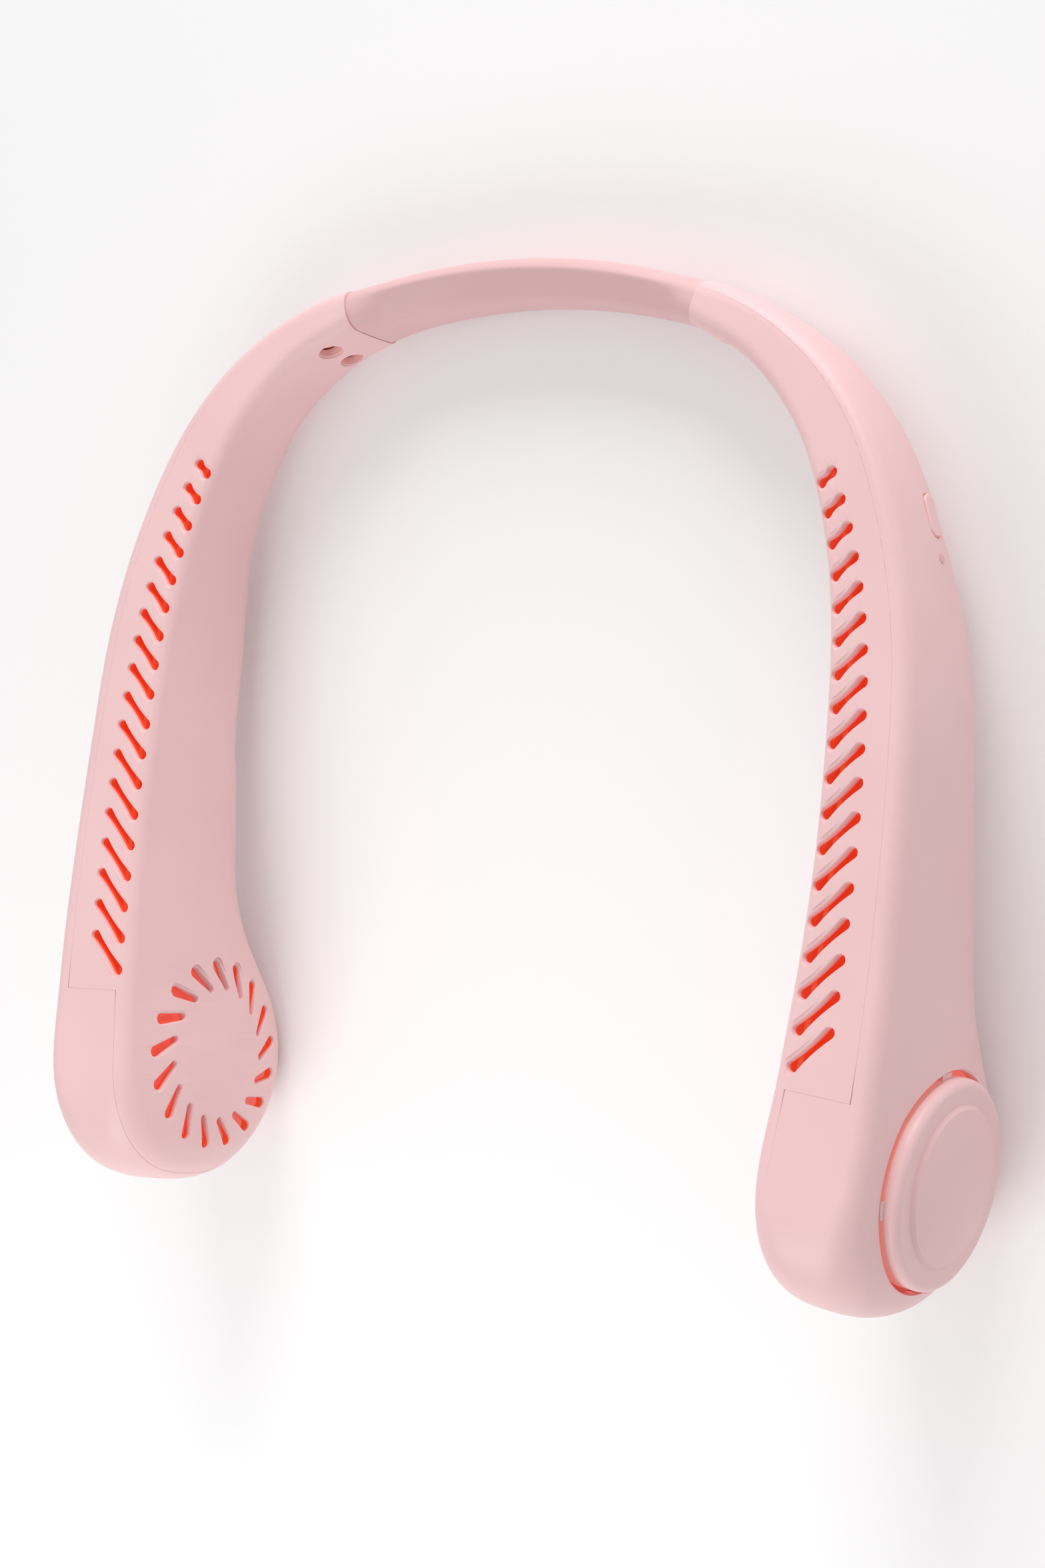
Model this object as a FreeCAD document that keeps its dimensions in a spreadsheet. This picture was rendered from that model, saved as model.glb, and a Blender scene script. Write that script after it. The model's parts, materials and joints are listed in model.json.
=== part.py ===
import FreeCAD, Part
import math
import os
from FreeCAD import Placement, Rotation, Vector

# Electric neck fan: two hollow arms joined by a soft band behind the neck. A centrifugal fan in each head
# draws air through a ring of vents and a slit round the cap, and blows it out of a row of slots in the arm.
# The right side is modelled with the slotted faces level and upward, and mirrored for the left side.
# At the end the whole fan is tipped back on to its heads and band, as it lies on a table.

# Driving sizes in millimetres, degrees, counts and shares
SIZES = [
    # Whole fan
    ("overall_depth", "186"),
    ("head_spacing", "166.8"),
    ("overrun", "2"),
    # Head
    ("head_radius", "26"),
    ("head_thickness", "28"),
    ("head_face_width", "20"),
    ("head_crease_radius", "4"),
    ("head_under_radius", "8.5"),
    ("head_end_power", "3"),
    ("head_top_power", "2.6"),
    ("head_under_power", "2"),
    # Band
    ("band_bend_radius", "143"),
    ("band_thickness", "7"),
    ("band_height", "16.4"),
    ("band_bulge", "0.3"),
    ("band_crease_radius", "3.3"),
    ("tongue_length", "14"),
    ("tongue_clearance", "0.6"),
    # Seam between the band and an arm
    ("seam_span", "80"),
    ("seam_gap", "0.3"),
    ("seam_width", "7.8"),
    ("seam_height", "17.4"),
    ("seam_bulge", "0.3"),
    ("seam_crease_radius", "3.4"),
    # Arm
    ("shoulder_angle", "66.5"),
    ("upper_arm_angle", "86"),
    ("upper_arm_radius", "117"),
    ("leg_radius", "500"),
    ("slot_start_width", "12.6"),
    ("slot_start_height", "21"),
    ("leg_width", "15.8"),
    ("leg_height", "28"),
    ("leg_bulge", "1.6"),
    ("leg_taper_share", "0.16"),
    ("leg_flare_power", "1.5"),
    ("flare_radius", "40"),
    ("crease_radius", "2.6"),
    ("under_radius", "5"),
    # Shell
    ("shell_wall", "1.8"),
    ("inner_corner_radius", "0.4"),
    ("parting_gap", "0.16"),
    ("parting_lip", "0.6"),
    ("strip_lip", "0.4"),
    ("strip_edge_share", "0.6"),
    ("strip_end_gap", "7.5"),
    # Outlet slots
    ("slot_count", "18"),
    ("slot_first_pitch", "5.6"),
    ("slot_last_pitch", "6.35"),
    ("slot_first_length", "4.6"),
    ("slot_last_length", "11.2"),
    ("slot_width", "1.9"),
    ("slot_waist", "1.25"),
    ("slot_angle", "44"),
    ("slot_row_inset", "3.6"),
    ("slot_lean", "5"),
    ("slot_rim", "0.75"),
    # Inner vents
    ("vent_count", "17"),
    ("vent_inner_radius", "13"),
    ("vent_outer_radius", "19.4"),
    ("vent_outer_width", "2.1"),
    ("vent_inner_width", "1.3"),
    ("vent_swirl", "11"),
    ("vent_rim", "0.6"),
    # Outer intake and its cap
    ("intake_radius", "20"),
    ("intake_slit", "1"),
    ("intake_rim", "0.4"),
    ("cap_wall", "1.6"),
    ("cap_skirt", "2"),
    ("cap_edge_radius", "1.6"),
    ("cap_rim_rise", "2.6"),
    ("cap_step_radius", "14.6"),
    ("cap_step_rise", "0.7"),
    ("cap_dome_rise", "1"),
    ("cap_tab_count", "4"),
    ("cap_tab_width", "3.2"),
    ("cap_tab_angle", "14"),
    ("cap_hook_reach", "1"),
    ("cap_hook_clearance", "1.1"),
    # Air duct
    ("duct_clearance", "0.3"),
    ("duct_side_gap", "1"),
    ("duct_wall", "0.9"),
    ("duct_depth", "6"),
    ("duct_fan_gap", "3"),
    ("duct_end_gap", "5"),
    # Motor
    ("motor_boss_radius", "9.5"),
    ("motor_boss_height", "1.2"),
    ("flange_radius", "9"),
    ("flange_thickness", "1.6"),
    ("tube_length", "9.8"),
    ("tube_wall", "0.6"),
    ("bearing_radius", "2"),
    ("shaft_radius", "1"),
    ("shaft_clearance", "0.05"),
    ("shaft_end_gap", "0.2"),
    ("shaft_length", "14"),
    ("shaft_chamfer", "0.2"),
    ("stator_lift", "2.7"),
    ("stator_length", "4"),
    ("stator_radius", "6.6"),
    ("stator_core_ring", "0.8"),
    ("pole_count", "6"),
    ("pole_width", "1.6"),
    ("pole_shoe", "0.6"),
    ("pole_shoe_span", "44"),
    ("winding_thickness", "0.7"),
    ("winding_overhang", "1.2"),
    ("winding_gap", "0.2"),
    ("air_gap", "0.35"),
    ("magnet_thickness", "1.05"),
    ("magnet_overhang", "0.7"),
    ("yoke_thickness", "0.6"),
    ("rotor_gap", "0.6"),
    # Impeller
    ("hub_wall", "1.2"),
    ("hub_skirt", "0.6"),
    ("hub_boss_radius", "2.4"),
    ("impeller_radius", "18"),
    ("impeller_plate", "1.2"),
    ("blade_count", "23"),
    ("blade_height", "15.2"),
    ("blade_thickness", "0.9"),
    ("blade_root_gap", "1.4"),
    ("blade_sweep", "26"),
    ("blade_bow", "0.9"),
    # Battery cell
    ("cell_length", "46"),
    ("cell_width", "9.2"),
    ("cell_height", "11"),
    ("cell_corner_radius", "1.5"),
    ("cell_lead", "4"),
    # Band screws
    ("screw_distance", "9"),
    ("screw_spacing", "7"),
    ("screw_well_radius", "2.2"),
    ("screw_well_rim", "0.3"),
    ("screw_head_radius", "1.8"),
    ("screw_head_height", "1"),
    ("screw_head_gap", "0.15"),
    ("screw_radius", "0.9"),
    ("screw_bite", "1"),
    ("screw_drive_width", "0.6"),
    ("screw_drive_depth", "0.6"),
    # Cable in the band
    ("cable_radius", "0.9"),
    ("cable_clearance", "0.15"),
    ("cable_tail", "4"),
    # Controls on the right arm
    ("board_gap", "3"),
    ("board_lead", "8.5"),
    ("board_length", "31"),
    ("board_height", "7"),
    ("board_thickness", "1"),
    ("board_inset", "1"),
    ("board_post_radius", "1.1"),
    ("board_post_margin", "2"),
    ("switch_size", "4.5"),
    ("switch_height", "1.4"),
    ("button_distance", "8.5"),
    ("button_length", "8"),
    ("button_width", "3.6"),
    ("button_proud", "0.35"),
    ("button_edge_radius", "0.3"),
    ("button_clearance", "0.3"),
    ("button_flange", "0.7"),
    ("button_flange_thickness", "0.6"),
    ("button_flange_gap", "0.9"),
    ("button_travel", "0.5"),
    ("lens_radius", "0.9"),
    ("lens_distance", "16.5"),
    ("lens_proud", "0.15"),
    ("usb_distance", "25"),
    ("usb_length", "9"),
    ("usb_width", "3.3"),
    ("usb_depth", "8.5"),
    ("usb_recess", "0.8"),
    ("usb_wall", "0.3"),
    ("usb_tongue", "0.7"),
    ("usb_clearance", "0.1"),
]

# Places worked out from the driving sizes
PLACES = [
    ("fan_x", "=head_spacing / 2"),
    ("fan_y", "=head_radius - overall_depth / 2"),
    ("fan_z", "=head_radius"),
    ("motor_seat", "=shell_wall + motor_boss_height - head_thickness / 2"),
    ("bore_start", "=motor_seat + flange_thickness / 2"),
    ("tube_top", "=motor_seat + flange_thickness + tube_length"),
    ("tube_radius", "=bearing_radius + tube_wall"),
    ("stator_start", "=motor_seat + flange_thickness + stator_lift"),
    ("magnet_bore", "=stator_radius + air_gap"),
    ("magnet_radius", "=magnet_bore + magnet_thickness"),
    ("magnet_start", "=stator_start - magnet_overhang"),
    ("yoke_radius", "=magnet_radius + yoke_thickness"),
    ("hub_ceiling", "=tube_top + rotor_gap"),
    ("hub_start", "=magnet_start - hub_skirt"),
    ("hub_radius", "=yoke_radius + hub_wall"),
    ("shaft_start", "=bore_start + shaft_end_gap"),
    ("shaft_end", "=shaft_start + shaft_length"),
]

doc = FreeCAD.newDocument("neck_fan")
sheet = doc.addObject("Spreadsheet::Sheet", "Sizes")
for row, (alias, text) in enumerate(SIZES + PLACES, 1):
    sheet.set(f"A{row}", alias)
    sheet.set(f"B{row}", text)
    sheet.setAlias(f"B{row}", alias)
doc.recompute()
value = {alias: float(sheet.get(alias)) for alias, text in SIZES + PLACES}

UP = Vector(0, 0, 1)
ACROSS = Vector(1, 0, 0)
ALONG_X = Rotation(Vector(0, 1, 0), 90)
TOP = 2 * value["head_radius"]
FAN = Vector(value["fan_x"], value["fan_y"], value["fan_z"])
nodes = {}


# Document helpers

def node(name, thing):
    """Give an object the label that names its file, and keep it for the hand-in."""
    thing.Label = name
    nodes[name] = thing
    return thing


def feature(name, shape):
    """A document object that carries a shape made in this file."""
    thing = doc.addObject("Part::Feature", name)
    thing.Shape = shape
    return thing


def bind(thing, **expressions):
    """Tie properties of an object to cells of the sheet."""
    for name, expression in expressions.items():
        thing.setExpression(name.replace("__", "."), expression)
    return thing


def rod(name, radius, start, length):
    """A cylinder along the fan's axis, from a start place out from the head's middle."""
    thing = doc.addObject("Part::Cylinder", name)
    thing.Placement = Placement(Vector(), ALONG_X)
    return bind(thing, Radius=radius, Height=length, Placement__Base__x=start)


def cut(name, base, tool):
    """One object less another."""
    thing = doc.addObject("Part::Cut", name)
    thing.Base = base
    thing.Tool = tool
    return thing


def tube(name, radius, bore, start, length):
    """A hollow cylinder along the fan's axis."""
    outside = rod(name + "_outside", radius, start, length)
    bore_start = f"{start} - Sizes.overrun"
    inside = rod(name + "_bore", bore, bore_start, f"{length} + 2 * Sizes.overrun")
    return cut(name, outside, inside)


def fused(name, pieces):
    """Several objects as one."""
    thing = doc.addObject("Part::MultiFuse", name)
    thing.Shapes = pieces
    return thing


# Centre line of the right arm, seen from above: arcs of the shoulder, the upper arm and the leg

def outward(turn):
    """The direction away from the neck where the line has turned by an angle."""
    return Vector(math.sin(turn), math.cos(turn), 0)


def onward(turn):
    """The direction from the band towards the head."""
    return Vector(math.cos(turn), -math.sin(turn), 0)


SEAM_TURN = math.asin(value["seam_span"] / 2 / value["band_bend_radius"])
SHOULDER_TURN = math.radians(value["shoulder_angle"])
UPPER_TURN = math.radians(value["upper_arm_angle"])
UPPER_RADIUS = value["upper_arm_radius"]
LEG_RADIUS = value["leg_radius"]
BAND_MIDDLE = value["overall_depth"] / 2 - value["band_thickness"] / 2 - value["band_bulge"]
BAND_CENTRE = Vector(0, BAND_MIDDLE - value["band_bend_radius"], 0)
SEAM = BAND_CENTRE + outward(SEAM_TURN) * value["band_bend_radius"]


def closing_radius():
    """The shoulder's radius that lets the three arcs end at the fan's axis."""
    ahead = Vector(FAN.x, FAN.y, 0) - SEAM
    ahead -= (outward(UPPER_TURN) - outward(SHOULDER_TURN)) * UPPER_RADIUS
    ahead += outward(UPPER_TURN) * LEG_RADIUS
    chord = outward(SHOULDER_TURN) - outward(SEAM_TURN)
    square = chord.dot(chord)
    half = ahead.dot(chord)
    return (half - math.sqrt(half ** 2 - square * (ahead.dot(ahead) - LEG_RADIUS ** 2))) / square


SHOULDER_RADIUS = closing_radius()
SHOULDER_CENTRE = SEAM - outward(SEAM_TURN) * SHOULDER_RADIUS
UPPER_CENTRE = SHOULDER_CENTRE + outward(SHOULDER_TURN) * (SHOULDER_RADIUS - UPPER_RADIUS)
LEG_CENTRE = UPPER_CENTRE + outward(UPPER_TURN) * (UPPER_RADIUS - LEG_RADIUS)
HEAD_TURN = math.atan2(FAN.x - LEG_CENTRE.x, FAN.y - LEG_CENTRE.y)
SHOULDER_LENGTH = SHOULDER_RADIUS * (SHOULDER_TURN - SEAM_TURN)
LEG_START = SHOULDER_LENGTH + UPPER_RADIUS * (UPPER_TURN - SHOULDER_TURN)
LEG_LENGTH = LEG_RADIUS * (HEAD_TURN - UPPER_TURN)
ARM_LENGTH = LEG_START + LEG_LENGTH
HEAD = Placement(FAN, Rotation(UP, math.degrees(math.pi / 2 - HEAD_TURN)))


def turn_at(distance):
    """How far the line has turned at a distance from the seam."""
    if distance < 0:
        return SEAM_TURN + distance / value["band_bend_radius"]
    if distance < SHOULDER_LENGTH:
        return SEAM_TURN + distance / SHOULDER_RADIUS
    if distance < LEG_START:
        return SHOULDER_TURN + (distance - SHOULDER_LENGTH) / UPPER_RADIUS
    return UPPER_TURN + (min(distance, ARM_LENGTH) - LEG_START) / LEG_RADIUS


def line_at(distance):
    """A point of the line at a distance from the seam, straight on past the fan's axis."""
    turn = turn_at(distance)
    if distance < 0:
        return BAND_CENTRE + outward(turn) * value["band_bend_radius"]
    if distance < SHOULDER_LENGTH:
        return SHOULDER_CENTRE + outward(turn) * SHOULDER_RADIUS
    if distance < LEG_START:
        return UPPER_CENTRE + outward(turn) * UPPER_RADIUS
    return LEG_CENTRE + outward(turn) * LEG_RADIUS + onward(turn) * max(distance - ARM_LENGTH, 0)


def local(distance, out, height):
    """A placement on the arm: X onward, Y outward and Z up."""
    turn = turn_at(distance)
    place = line_at(distance) + outward(turn) * out + UP * height
    return Placement(place, Rotation(UP, -math.degrees(turn)))


def put(shape, place):
    """A shape moved to a place."""
    shape.Placement = place.multiply(shape.Placement)
    return shape


def on_head(name, thing):
    """A node drawn about the fan's axis, moved to its place in the head."""
    thing.Placement = HEAD.multiply(thing.Placement)
    return node(name, thing)


# Section of the arm: a level top and bottom, bowed sides and rounded creases

def through(distance, seam, shoulder, leg):
    """A smooth run of one size from the seam to the leg."""
    near = (distance - SHOULDER_LENGTH) * (distance - LEG_START) / (SHOULDER_LENGTH * LEG_START)
    middle = distance * (LEG_START - distance) / (SHOULDER_LENGTH * (LEG_START - SHOULDER_LENGTH))
    far = distance * (distance - SHOULDER_LENGTH) / (LEG_START * (LEG_START - SHOULDER_LENGTH))
    return seam * near + shoulder * middle + leg * far


def leg_outline():
    """Where the leg's underside leaves its taper and meets the head's round, from the leg's start."""
    slope = value["leg_taper_share"]
    radius = value["flare_radius"]
    reach = radius + value["head_radius"]
    tilt = math.hypot(1, slope)
    rise = value["leg_height"] + tilt * radius - value["head_radius"]
    square = 1 + slope ** 2
    half = LEG_LENGTH - slope * rise
    rest = LEG_LENGTH ** 2 + rise ** 2 - reach ** 2
    along = (half - math.sqrt(half ** 2 - square * rest)) / square
    depth = value["leg_height"] + tilt * radius + slope * along
    leave = along + radius * slope / tilt
    share = value["head_radius"] / reach
    meet = LEG_LENGTH - (LEG_LENGTH - along) * share
    return along, depth, leave, meet


FLARE_ALONG, FLARE_DEPTH, FLARE_START, FLARE_END = leg_outline()


def height_at(distance):
    """Height of the arm."""
    if distance < LEG_START:
        inside = max(distance, 0)
        return through(inside, value["seam_height"], value["slot_start_height"], value["leg_height"])
    along = distance - LEG_START
    if along < FLARE_START:
        return value["leg_height"] + value["leg_taper_share"] * along
    if along < FLARE_END:
        return FLARE_DEPTH - math.sqrt(value["flare_radius"] ** 2 - (along - FLARE_ALONG) ** 2)
    short = max(LEG_LENGTH - along, 0)
    return value["head_radius"] + math.sqrt(value["head_radius"] ** 2 - short ** 2)


def half_width_at(distance):
    """Half the width between the creases of the level top."""
    if distance < LEG_START:
        inside = max(distance, 0)
        return through(inside, value["seam_width"], value["slot_start_width"], value["leg_width"]) / 2
    share = min((distance - LEG_START) / LEG_LENGTH, 1) ** value["leg_flare_power"]
    return (value["leg_width"] + (value["head_face_width"] - value["leg_width"]) * share) / 2


def bulge_at(distance):
    """How far each side bows out beyond the creases."""
    if distance < LEG_START:
        share = max(distance, 0) / LEG_START
        return value["seam_bulge"] + (value["leg_bulge"] - value["seam_bulge"]) * share
    share = min(abs(ARM_LENGTH - distance) / (FLARE_START + value["head_radius"] / 2), 1)
    full = (value["head_thickness"] - value["head_face_width"]) / 2
    return value["leg_bulge"] + (full - value["leg_bulge"]) * (1 + math.cos(math.pi * share)) / 2


def radius_at(distance, arm, head):
    """Radius of the creases, from the seam's to the arm's at the first slot and on to the head's."""
    share = min(max(distance, 0) / SHOULDER_LENGTH, 1)
    further = min(max(distance - SHOULDER_LENGTH, 0) / (ARM_LENGTH - SHOULDER_LENGTH), 1)
    return value["seam_crease_radius"] * (1 - share) + arm * (share - further) + head * further


def sizes_at(distance):
    """Sizes of a section: half width, bulge, height, and radius of its upper and lower creases."""
    upper = radius_at(distance, value["crease_radius"], value["head_crease_radius"])
    lower = radius_at(distance, value["under_radius"], value["head_under_radius"])
    return half_width_at(distance), bulge_at(distance), height_at(distance), upper, lower


BAND_SIZES = (value["band_thickness"] / 2, value["band_bulge"], value["band_height"],
              value["band_crease_radius"], value["band_crease_radius"])


def bow_radius(bulge, height):
    """Radius of a side that bows out by a bulge over a height."""
    return (height ** 2 / 4 + bulge ** 2) / (2 * bulge)


def inset_sizes(sizes, inset):
    """Sizes of a section moved inward all round."""
    half_width, bulge, height, upper, lower = sizes
    bow = bow_radius(bulge, height) - inset
    middle = height / 2 - inset
    inner_bulge = bow - math.sqrt(bow ** 2 - middle ** 2)
    inner_width = half_width + bulge - inset - inner_bulge
    least = value["inner_corner_radius"]
    return inner_width, inner_bulge, 2 * middle, max(upper - inset, least), max(lower - inset, least)


def half_section(half_width, bulge, height, corner):
    """Points of a quarter of a section: where its side starts, where a crease starts, turns and ends."""
    bow = bow_radius(bulge, height)
    rise = height / 2
    centre = half_width + bulge - bow
    across = math.sqrt((bow - corner) ** 2 - (rise - corner) ** 2)
    angle = math.atan2(rise - corner, across)
    turn = (angle + math.pi / 2) / 2
    side = (half_width + bulge, 0)
    low = (centre + bow * math.cos(angle), bow * math.sin(angle))
    round_off = (centre + across + corner * math.cos(turn), rise - corner + corner * math.sin(turn))
    high = (centre + across, rise)
    return side, low, round_off, high


def outline(base, out, sizes):
    """The closed outline of a section about its middle."""
    half_width, bulge, height, upper_radius, lower_radius = sizes
    upper = half_section(half_width, bulge, height, upper_radius)
    lower = half_section(half_width, bulge, height, lower_radius)

    def at(point, flip_out, flip_up):
        return base + out * (point[0] * flip_out) + UP * (point[1] * flip_up)

    side, low, round_off, high = [[at(point, flip, 1) for flip in (1, -1)] for point in upper]
    side, foot, round_under, under = [[at(point, flip, -1) for flip in (1, -1)] for point in lower]
    return Part.Wire([
        Part.Arc(foot[0], side[0], low[0]).toShape(),
        Part.Arc(low[0], round_off[0], high[0]).toShape(),
        Part.makeLine(high[0], high[1]),
        Part.Arc(high[1], round_off[1], low[1]).toShape(),
        Part.Arc(low[1], side[1], foot[1]).toShape(),
        Part.Arc(foot[1], round_under[1], under[1]).toShape(),
        Part.makeLine(under[1], under[0]),
        Part.Arc(under[0], round_under[0], foot[0]).toShape(),
    ])


def section(distance, inset):
    """The outline of the arm at a distance from the seam, or of its hollow."""
    base = line_at(distance) + UP * (TOP - height_at(distance) / 2)
    return outline(base, outward(turn_at(distance)), inset_sizes(sizes_at(distance), inset))


END_SHARES = (0.25, 0.45, 0.62, 0.76, 0.87, 0.945, 0.985, 0.998)
FULL_ROUND_SHARE = 0.8


def rounded(share, power):
    """What is left of a half width at a share of the way to the tip, in a round of a given fullness."""
    return (1 - share ** power) ** (1 / power)


def end_section(share, inset):
    """The outline of the head's round end at a share of its radius past the fan's axis."""
    half_width, bulge, height, upper, lower = inset_sizes(sizes_at(ARM_LENGTH), inset)
    narrowed = rounded(share, value["head_end_power"])
    half_width *= narrowed
    bulge *= narrowed
    rise = height / 2 * rounded(share, value["head_top_power"])
    drop = height / 2 * rounded(share, value["head_under_power"])
    height = rise + drop
    full = FULL_ROUND_SHARE * min(half_width + bulge, height / 2)
    blend = share ** 2 * (3 - 2 * share)
    upper += (full - upper) * blend
    lower += (full - lower) * blend
    base = FAN + onward(HEAD_TURN) * (share * (value["head_radius"] - inset)) + UP * ((rise - drop) / 2)
    return outline(base, outward(HEAD_TURN), (half_width, bulge, height, upper, lower))


SHOULDER_SHARES = (0.25, 0.5, 0.75, 1)


def section_places():
    """Distances of the sections that the arm is drawn through."""
    shoulder = [SHOULDER_LENGTH * share for share in SHOULDER_SHARES]
    upper = [(SHOULDER_LENGTH + LEG_START) / 2, LEG_START]
    stops = [FLARE_START / 2, FLARE_START, (FLARE_START + FLARE_END) / 2, FLARE_END]
    stops += [(FLARE_END + LEG_LENGTH) / 2, LEG_LENGTH]
    return shoulder + upper + [LEG_START + stop for stop in stops]


def arm_solid(inset, lead):
    """The arm with its head, drawn from a lead before the seam to the tip of the head."""
    places = [-lead] + ([0] if lead else []) + section_places()
    outlines = [section(place, inset) for place in places]
    outlines += [end_section(share, inset) for share in END_SHARES]
    return Part.makeLoft(outlines, True)


# Upright slabs that follow the arm, for splitting and lining it

def follow(offset, start, end):
    """A curve beside the line, at an offset that may change along it."""
    steps = 24
    points = []
    for step in range(steps + 1):
        distance = start + (end - start) * step / steps
        points.append(line_at(distance) + outward(turn_at(distance)) * offset(distance))
    curve = Part.BSplineCurve()
    curve.interpolate(points)
    return curve.toShape(), points[0], points[-1]


def slab(inside, outside, start, end, low, high):
    """An upright solid between two curves beside the line."""
    near, near_first, near_last = follow(inside, start, end)
    far, far_first, far_last = follow(outside, start, end)
    edges = [near, Part.makeLine(near_last, far_last), far, Part.makeLine(far_first, near_first)]
    face = Part.Face(Part.Wire(Part.__sortEdges__(edges)))
    face.translate(UP * low)
    return face.extrude(UP * (high - low))


def clear_of_arm(distance):
    return half_width_at(distance) + bulge_at(distance) + value["overrun"]


def slot_distance(index):
    """Distance of a slot from the seam: the pitch grows evenly along the row."""
    growth = (value["slot_last_pitch"] - value["slot_first_pitch"]) / (value["slot_count"] - 2)
    return SHOULDER_LENGTH + value["slot_first_pitch"] * index + growth * index * (index - 1) / 2


LAST_SLOT = slot_distance(value["slot_count"] - 1)
STRIP_END = LAST_SLOT + value["strip_end_gap"]


def inner_side(grow):
    """The space of the inner shell: the inner wall, and the slotted strip of the top."""
    def wall_edge(distance):
        return value["shell_wall"] + value["parting_lip"] - half_width_at(distance) + grow

    def strip_edge(distance):
        return value["strip_edge_share"] * half_width_at(distance) + grow

    def away(distance):
        return -clear_of_arm(distance)

    past = ARM_LENGTH + value["head_radius"] + value["overrun"]
    before = -value["overrun"]
    above = TOP + value["overrun"]
    wall = slab(away, wall_edge, before, past, before, above)
    under = TOP - value["shell_wall"] - value["strip_lip"] - grow
    strip = slab(away, strip_edge, before, STRIP_END + grow, under, above)
    return wall.fuse(strip)


# Cutters

def stadium(length, width, depth):
    """A round-ended bar along X, centred, standing up from the origin."""
    half = (length - width) / 2
    radius = width / 2
    edges = [
        Part.makeLine(Vector(-half, -radius, 0), Vector(half, -radius, 0)),
        Part.Arc(Vector(half, -radius, 0), Vector(half + radius, 0, 0), Vector(half, radius, 0)).toShape(),
        Part.makeLine(Vector(half, radius, 0), Vector(-half, radius, 0)),
        Part.Arc(Vector(-half, radius, 0), Vector(-half - radius, 0, 0), Vector(-half, -radius, 0)).toShape(),
    ]
    return Part.Face(Part.Wire(edges)).extrude(UP * depth)


def mouth_cutter(outline_at, depth, rim):
    """A cutter that points down from its mouth at the origin, and opens out there in a small round."""
    bend = rim * (1 - math.cos(math.pi / 4))
    levels = [(value["overrun"], rim), (0, rim), (-bend, bend), (-rim, 0), (-depth, 0)]
    return Part.makeLoft([outline_at(grow, level) for level, grow in levels], True, True)


def round_cutter(radius, depth, rim):
    """A round hole's cutter."""
    def circle(grow, level):
        return Part.Wire(Part.makeCircle(radius + grow, UP * level))

    return mouth_cutter(circle, depth, rim)


def slot_cutter(length, width, waist, depth, rim):
    """The cutter of a slot along X with two round ends and a narrower waist."""
    half = (length - width) / 2

    def waisted(grow, level):
        end = width / 2 + grow
        middle = waist / 2 + grow
        bend = (half ** 2 + middle ** 2 - end ** 2) / (2 * (end - middle))
        share = end / (bend + end)
        touch = Vector(half - half * share, (middle + bend) * share, level)
        tip = Vector(half + end, 0, level)
        side = Vector(0, middle, level)

        def at(point, flip_x, flip_y):
            return Vector(point.x * flip_x, point.y * flip_y, point.z)

        return Part.Wire([
            Part.Arc(at(touch, 1, 1), tip, at(touch, 1, -1)).toShape(),
            Part.Arc(at(touch, 1, -1), at(side, 1, -1), at(touch, -1, -1)).toShape(),
            Part.Arc(at(touch, -1, -1), at(tip, -1, 1), at(touch, -1, 1)).toShape(),
            Part.Arc(at(touch, -1, 1), side, at(touch, 1, 1)).toShape(),
        ])

    return mouth_cutter(waisted, depth, rim)


def vent_cutter(half, width, far_width, depth, rim):
    """The cutter of a round-ended slot that grows narrower along X."""
    lean = math.asin((width - far_width) / (4 * half))

    def tapered(grow, level):
        ends = []
        for centre, radius in ((-half, width / 2 + grow), (half, far_width / 2 + grow)):
            out = radius * math.cos(lean)
            along = centre + radius * math.sin(lean)
            tip = centre + math.copysign(radius, centre)
            ends.append([Vector(along, out, level), Vector(tip, 0, level), Vector(along, -out, level)])
        first, last = ends
        return Part.Wire([
            Part.makeLine(first[0], last[0]),
            Part.Arc(*last).toShape(),
            Part.makeLine(last[2], first[2]),
            Part.Arc(first[2], first[1], first[0]).toShape(),
        ])

    return mouth_cutter(tapered, depth, rim)


def outlet_slots():
    """The row of slots, which lean inward and towards the head and grow longer along the arm."""
    cutters = []
    last = value["slot_count"] - 1
    depth = value["shell_wall"] + value["strip_lip"] + value["overrun"]
    for index in range(int(value["slot_count"])):
        distance = slot_distance(index)
        left_over = (1 - index / last) ** 2
        growth = value["slot_last_length"] - value["slot_first_length"]
        length = value["slot_last_length"] - growth * left_over
        bar = slot_cutter(length, value["slot_width"], value["slot_waist"], depth, value["slot_rim"])
        centre = line_at(distance) - outward(turn_at(distance)) * value["slot_row_inset"]
        lean = Rotation(onward(turn_at(distance)), value["slot_lean"])
        cutters.append(put(bar, Placement(centre + UP * TOP, lean.multiply(Rotation(UP, value["slot_angle"])))))
    return Part.makeCompound(cutters)


def head_bow():
    """Radius of the round that the head's faces bulge in."""
    return bow_radius((value["head_thickness"] - value["head_face_width"]) / 2, TOP)


def head_level(radius, inset):
    """Distance from the head's middle to its bulging face, or to the face of its hollow, at a radius."""
    return value["head_thickness"] / 2 - head_bow() + math.sqrt((head_bow() - inset) ** 2 - radius ** 2)


def inner_face(point):
    """Distance from the head's middle to its inner face at a point about the fan's axis."""
    start = HEAD.multVec(point)
    ray = Part.makeLine(start, HEAD.multVec(point - ACROSS * value["head_thickness"]))
    return ray.common(outside).Length


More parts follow.
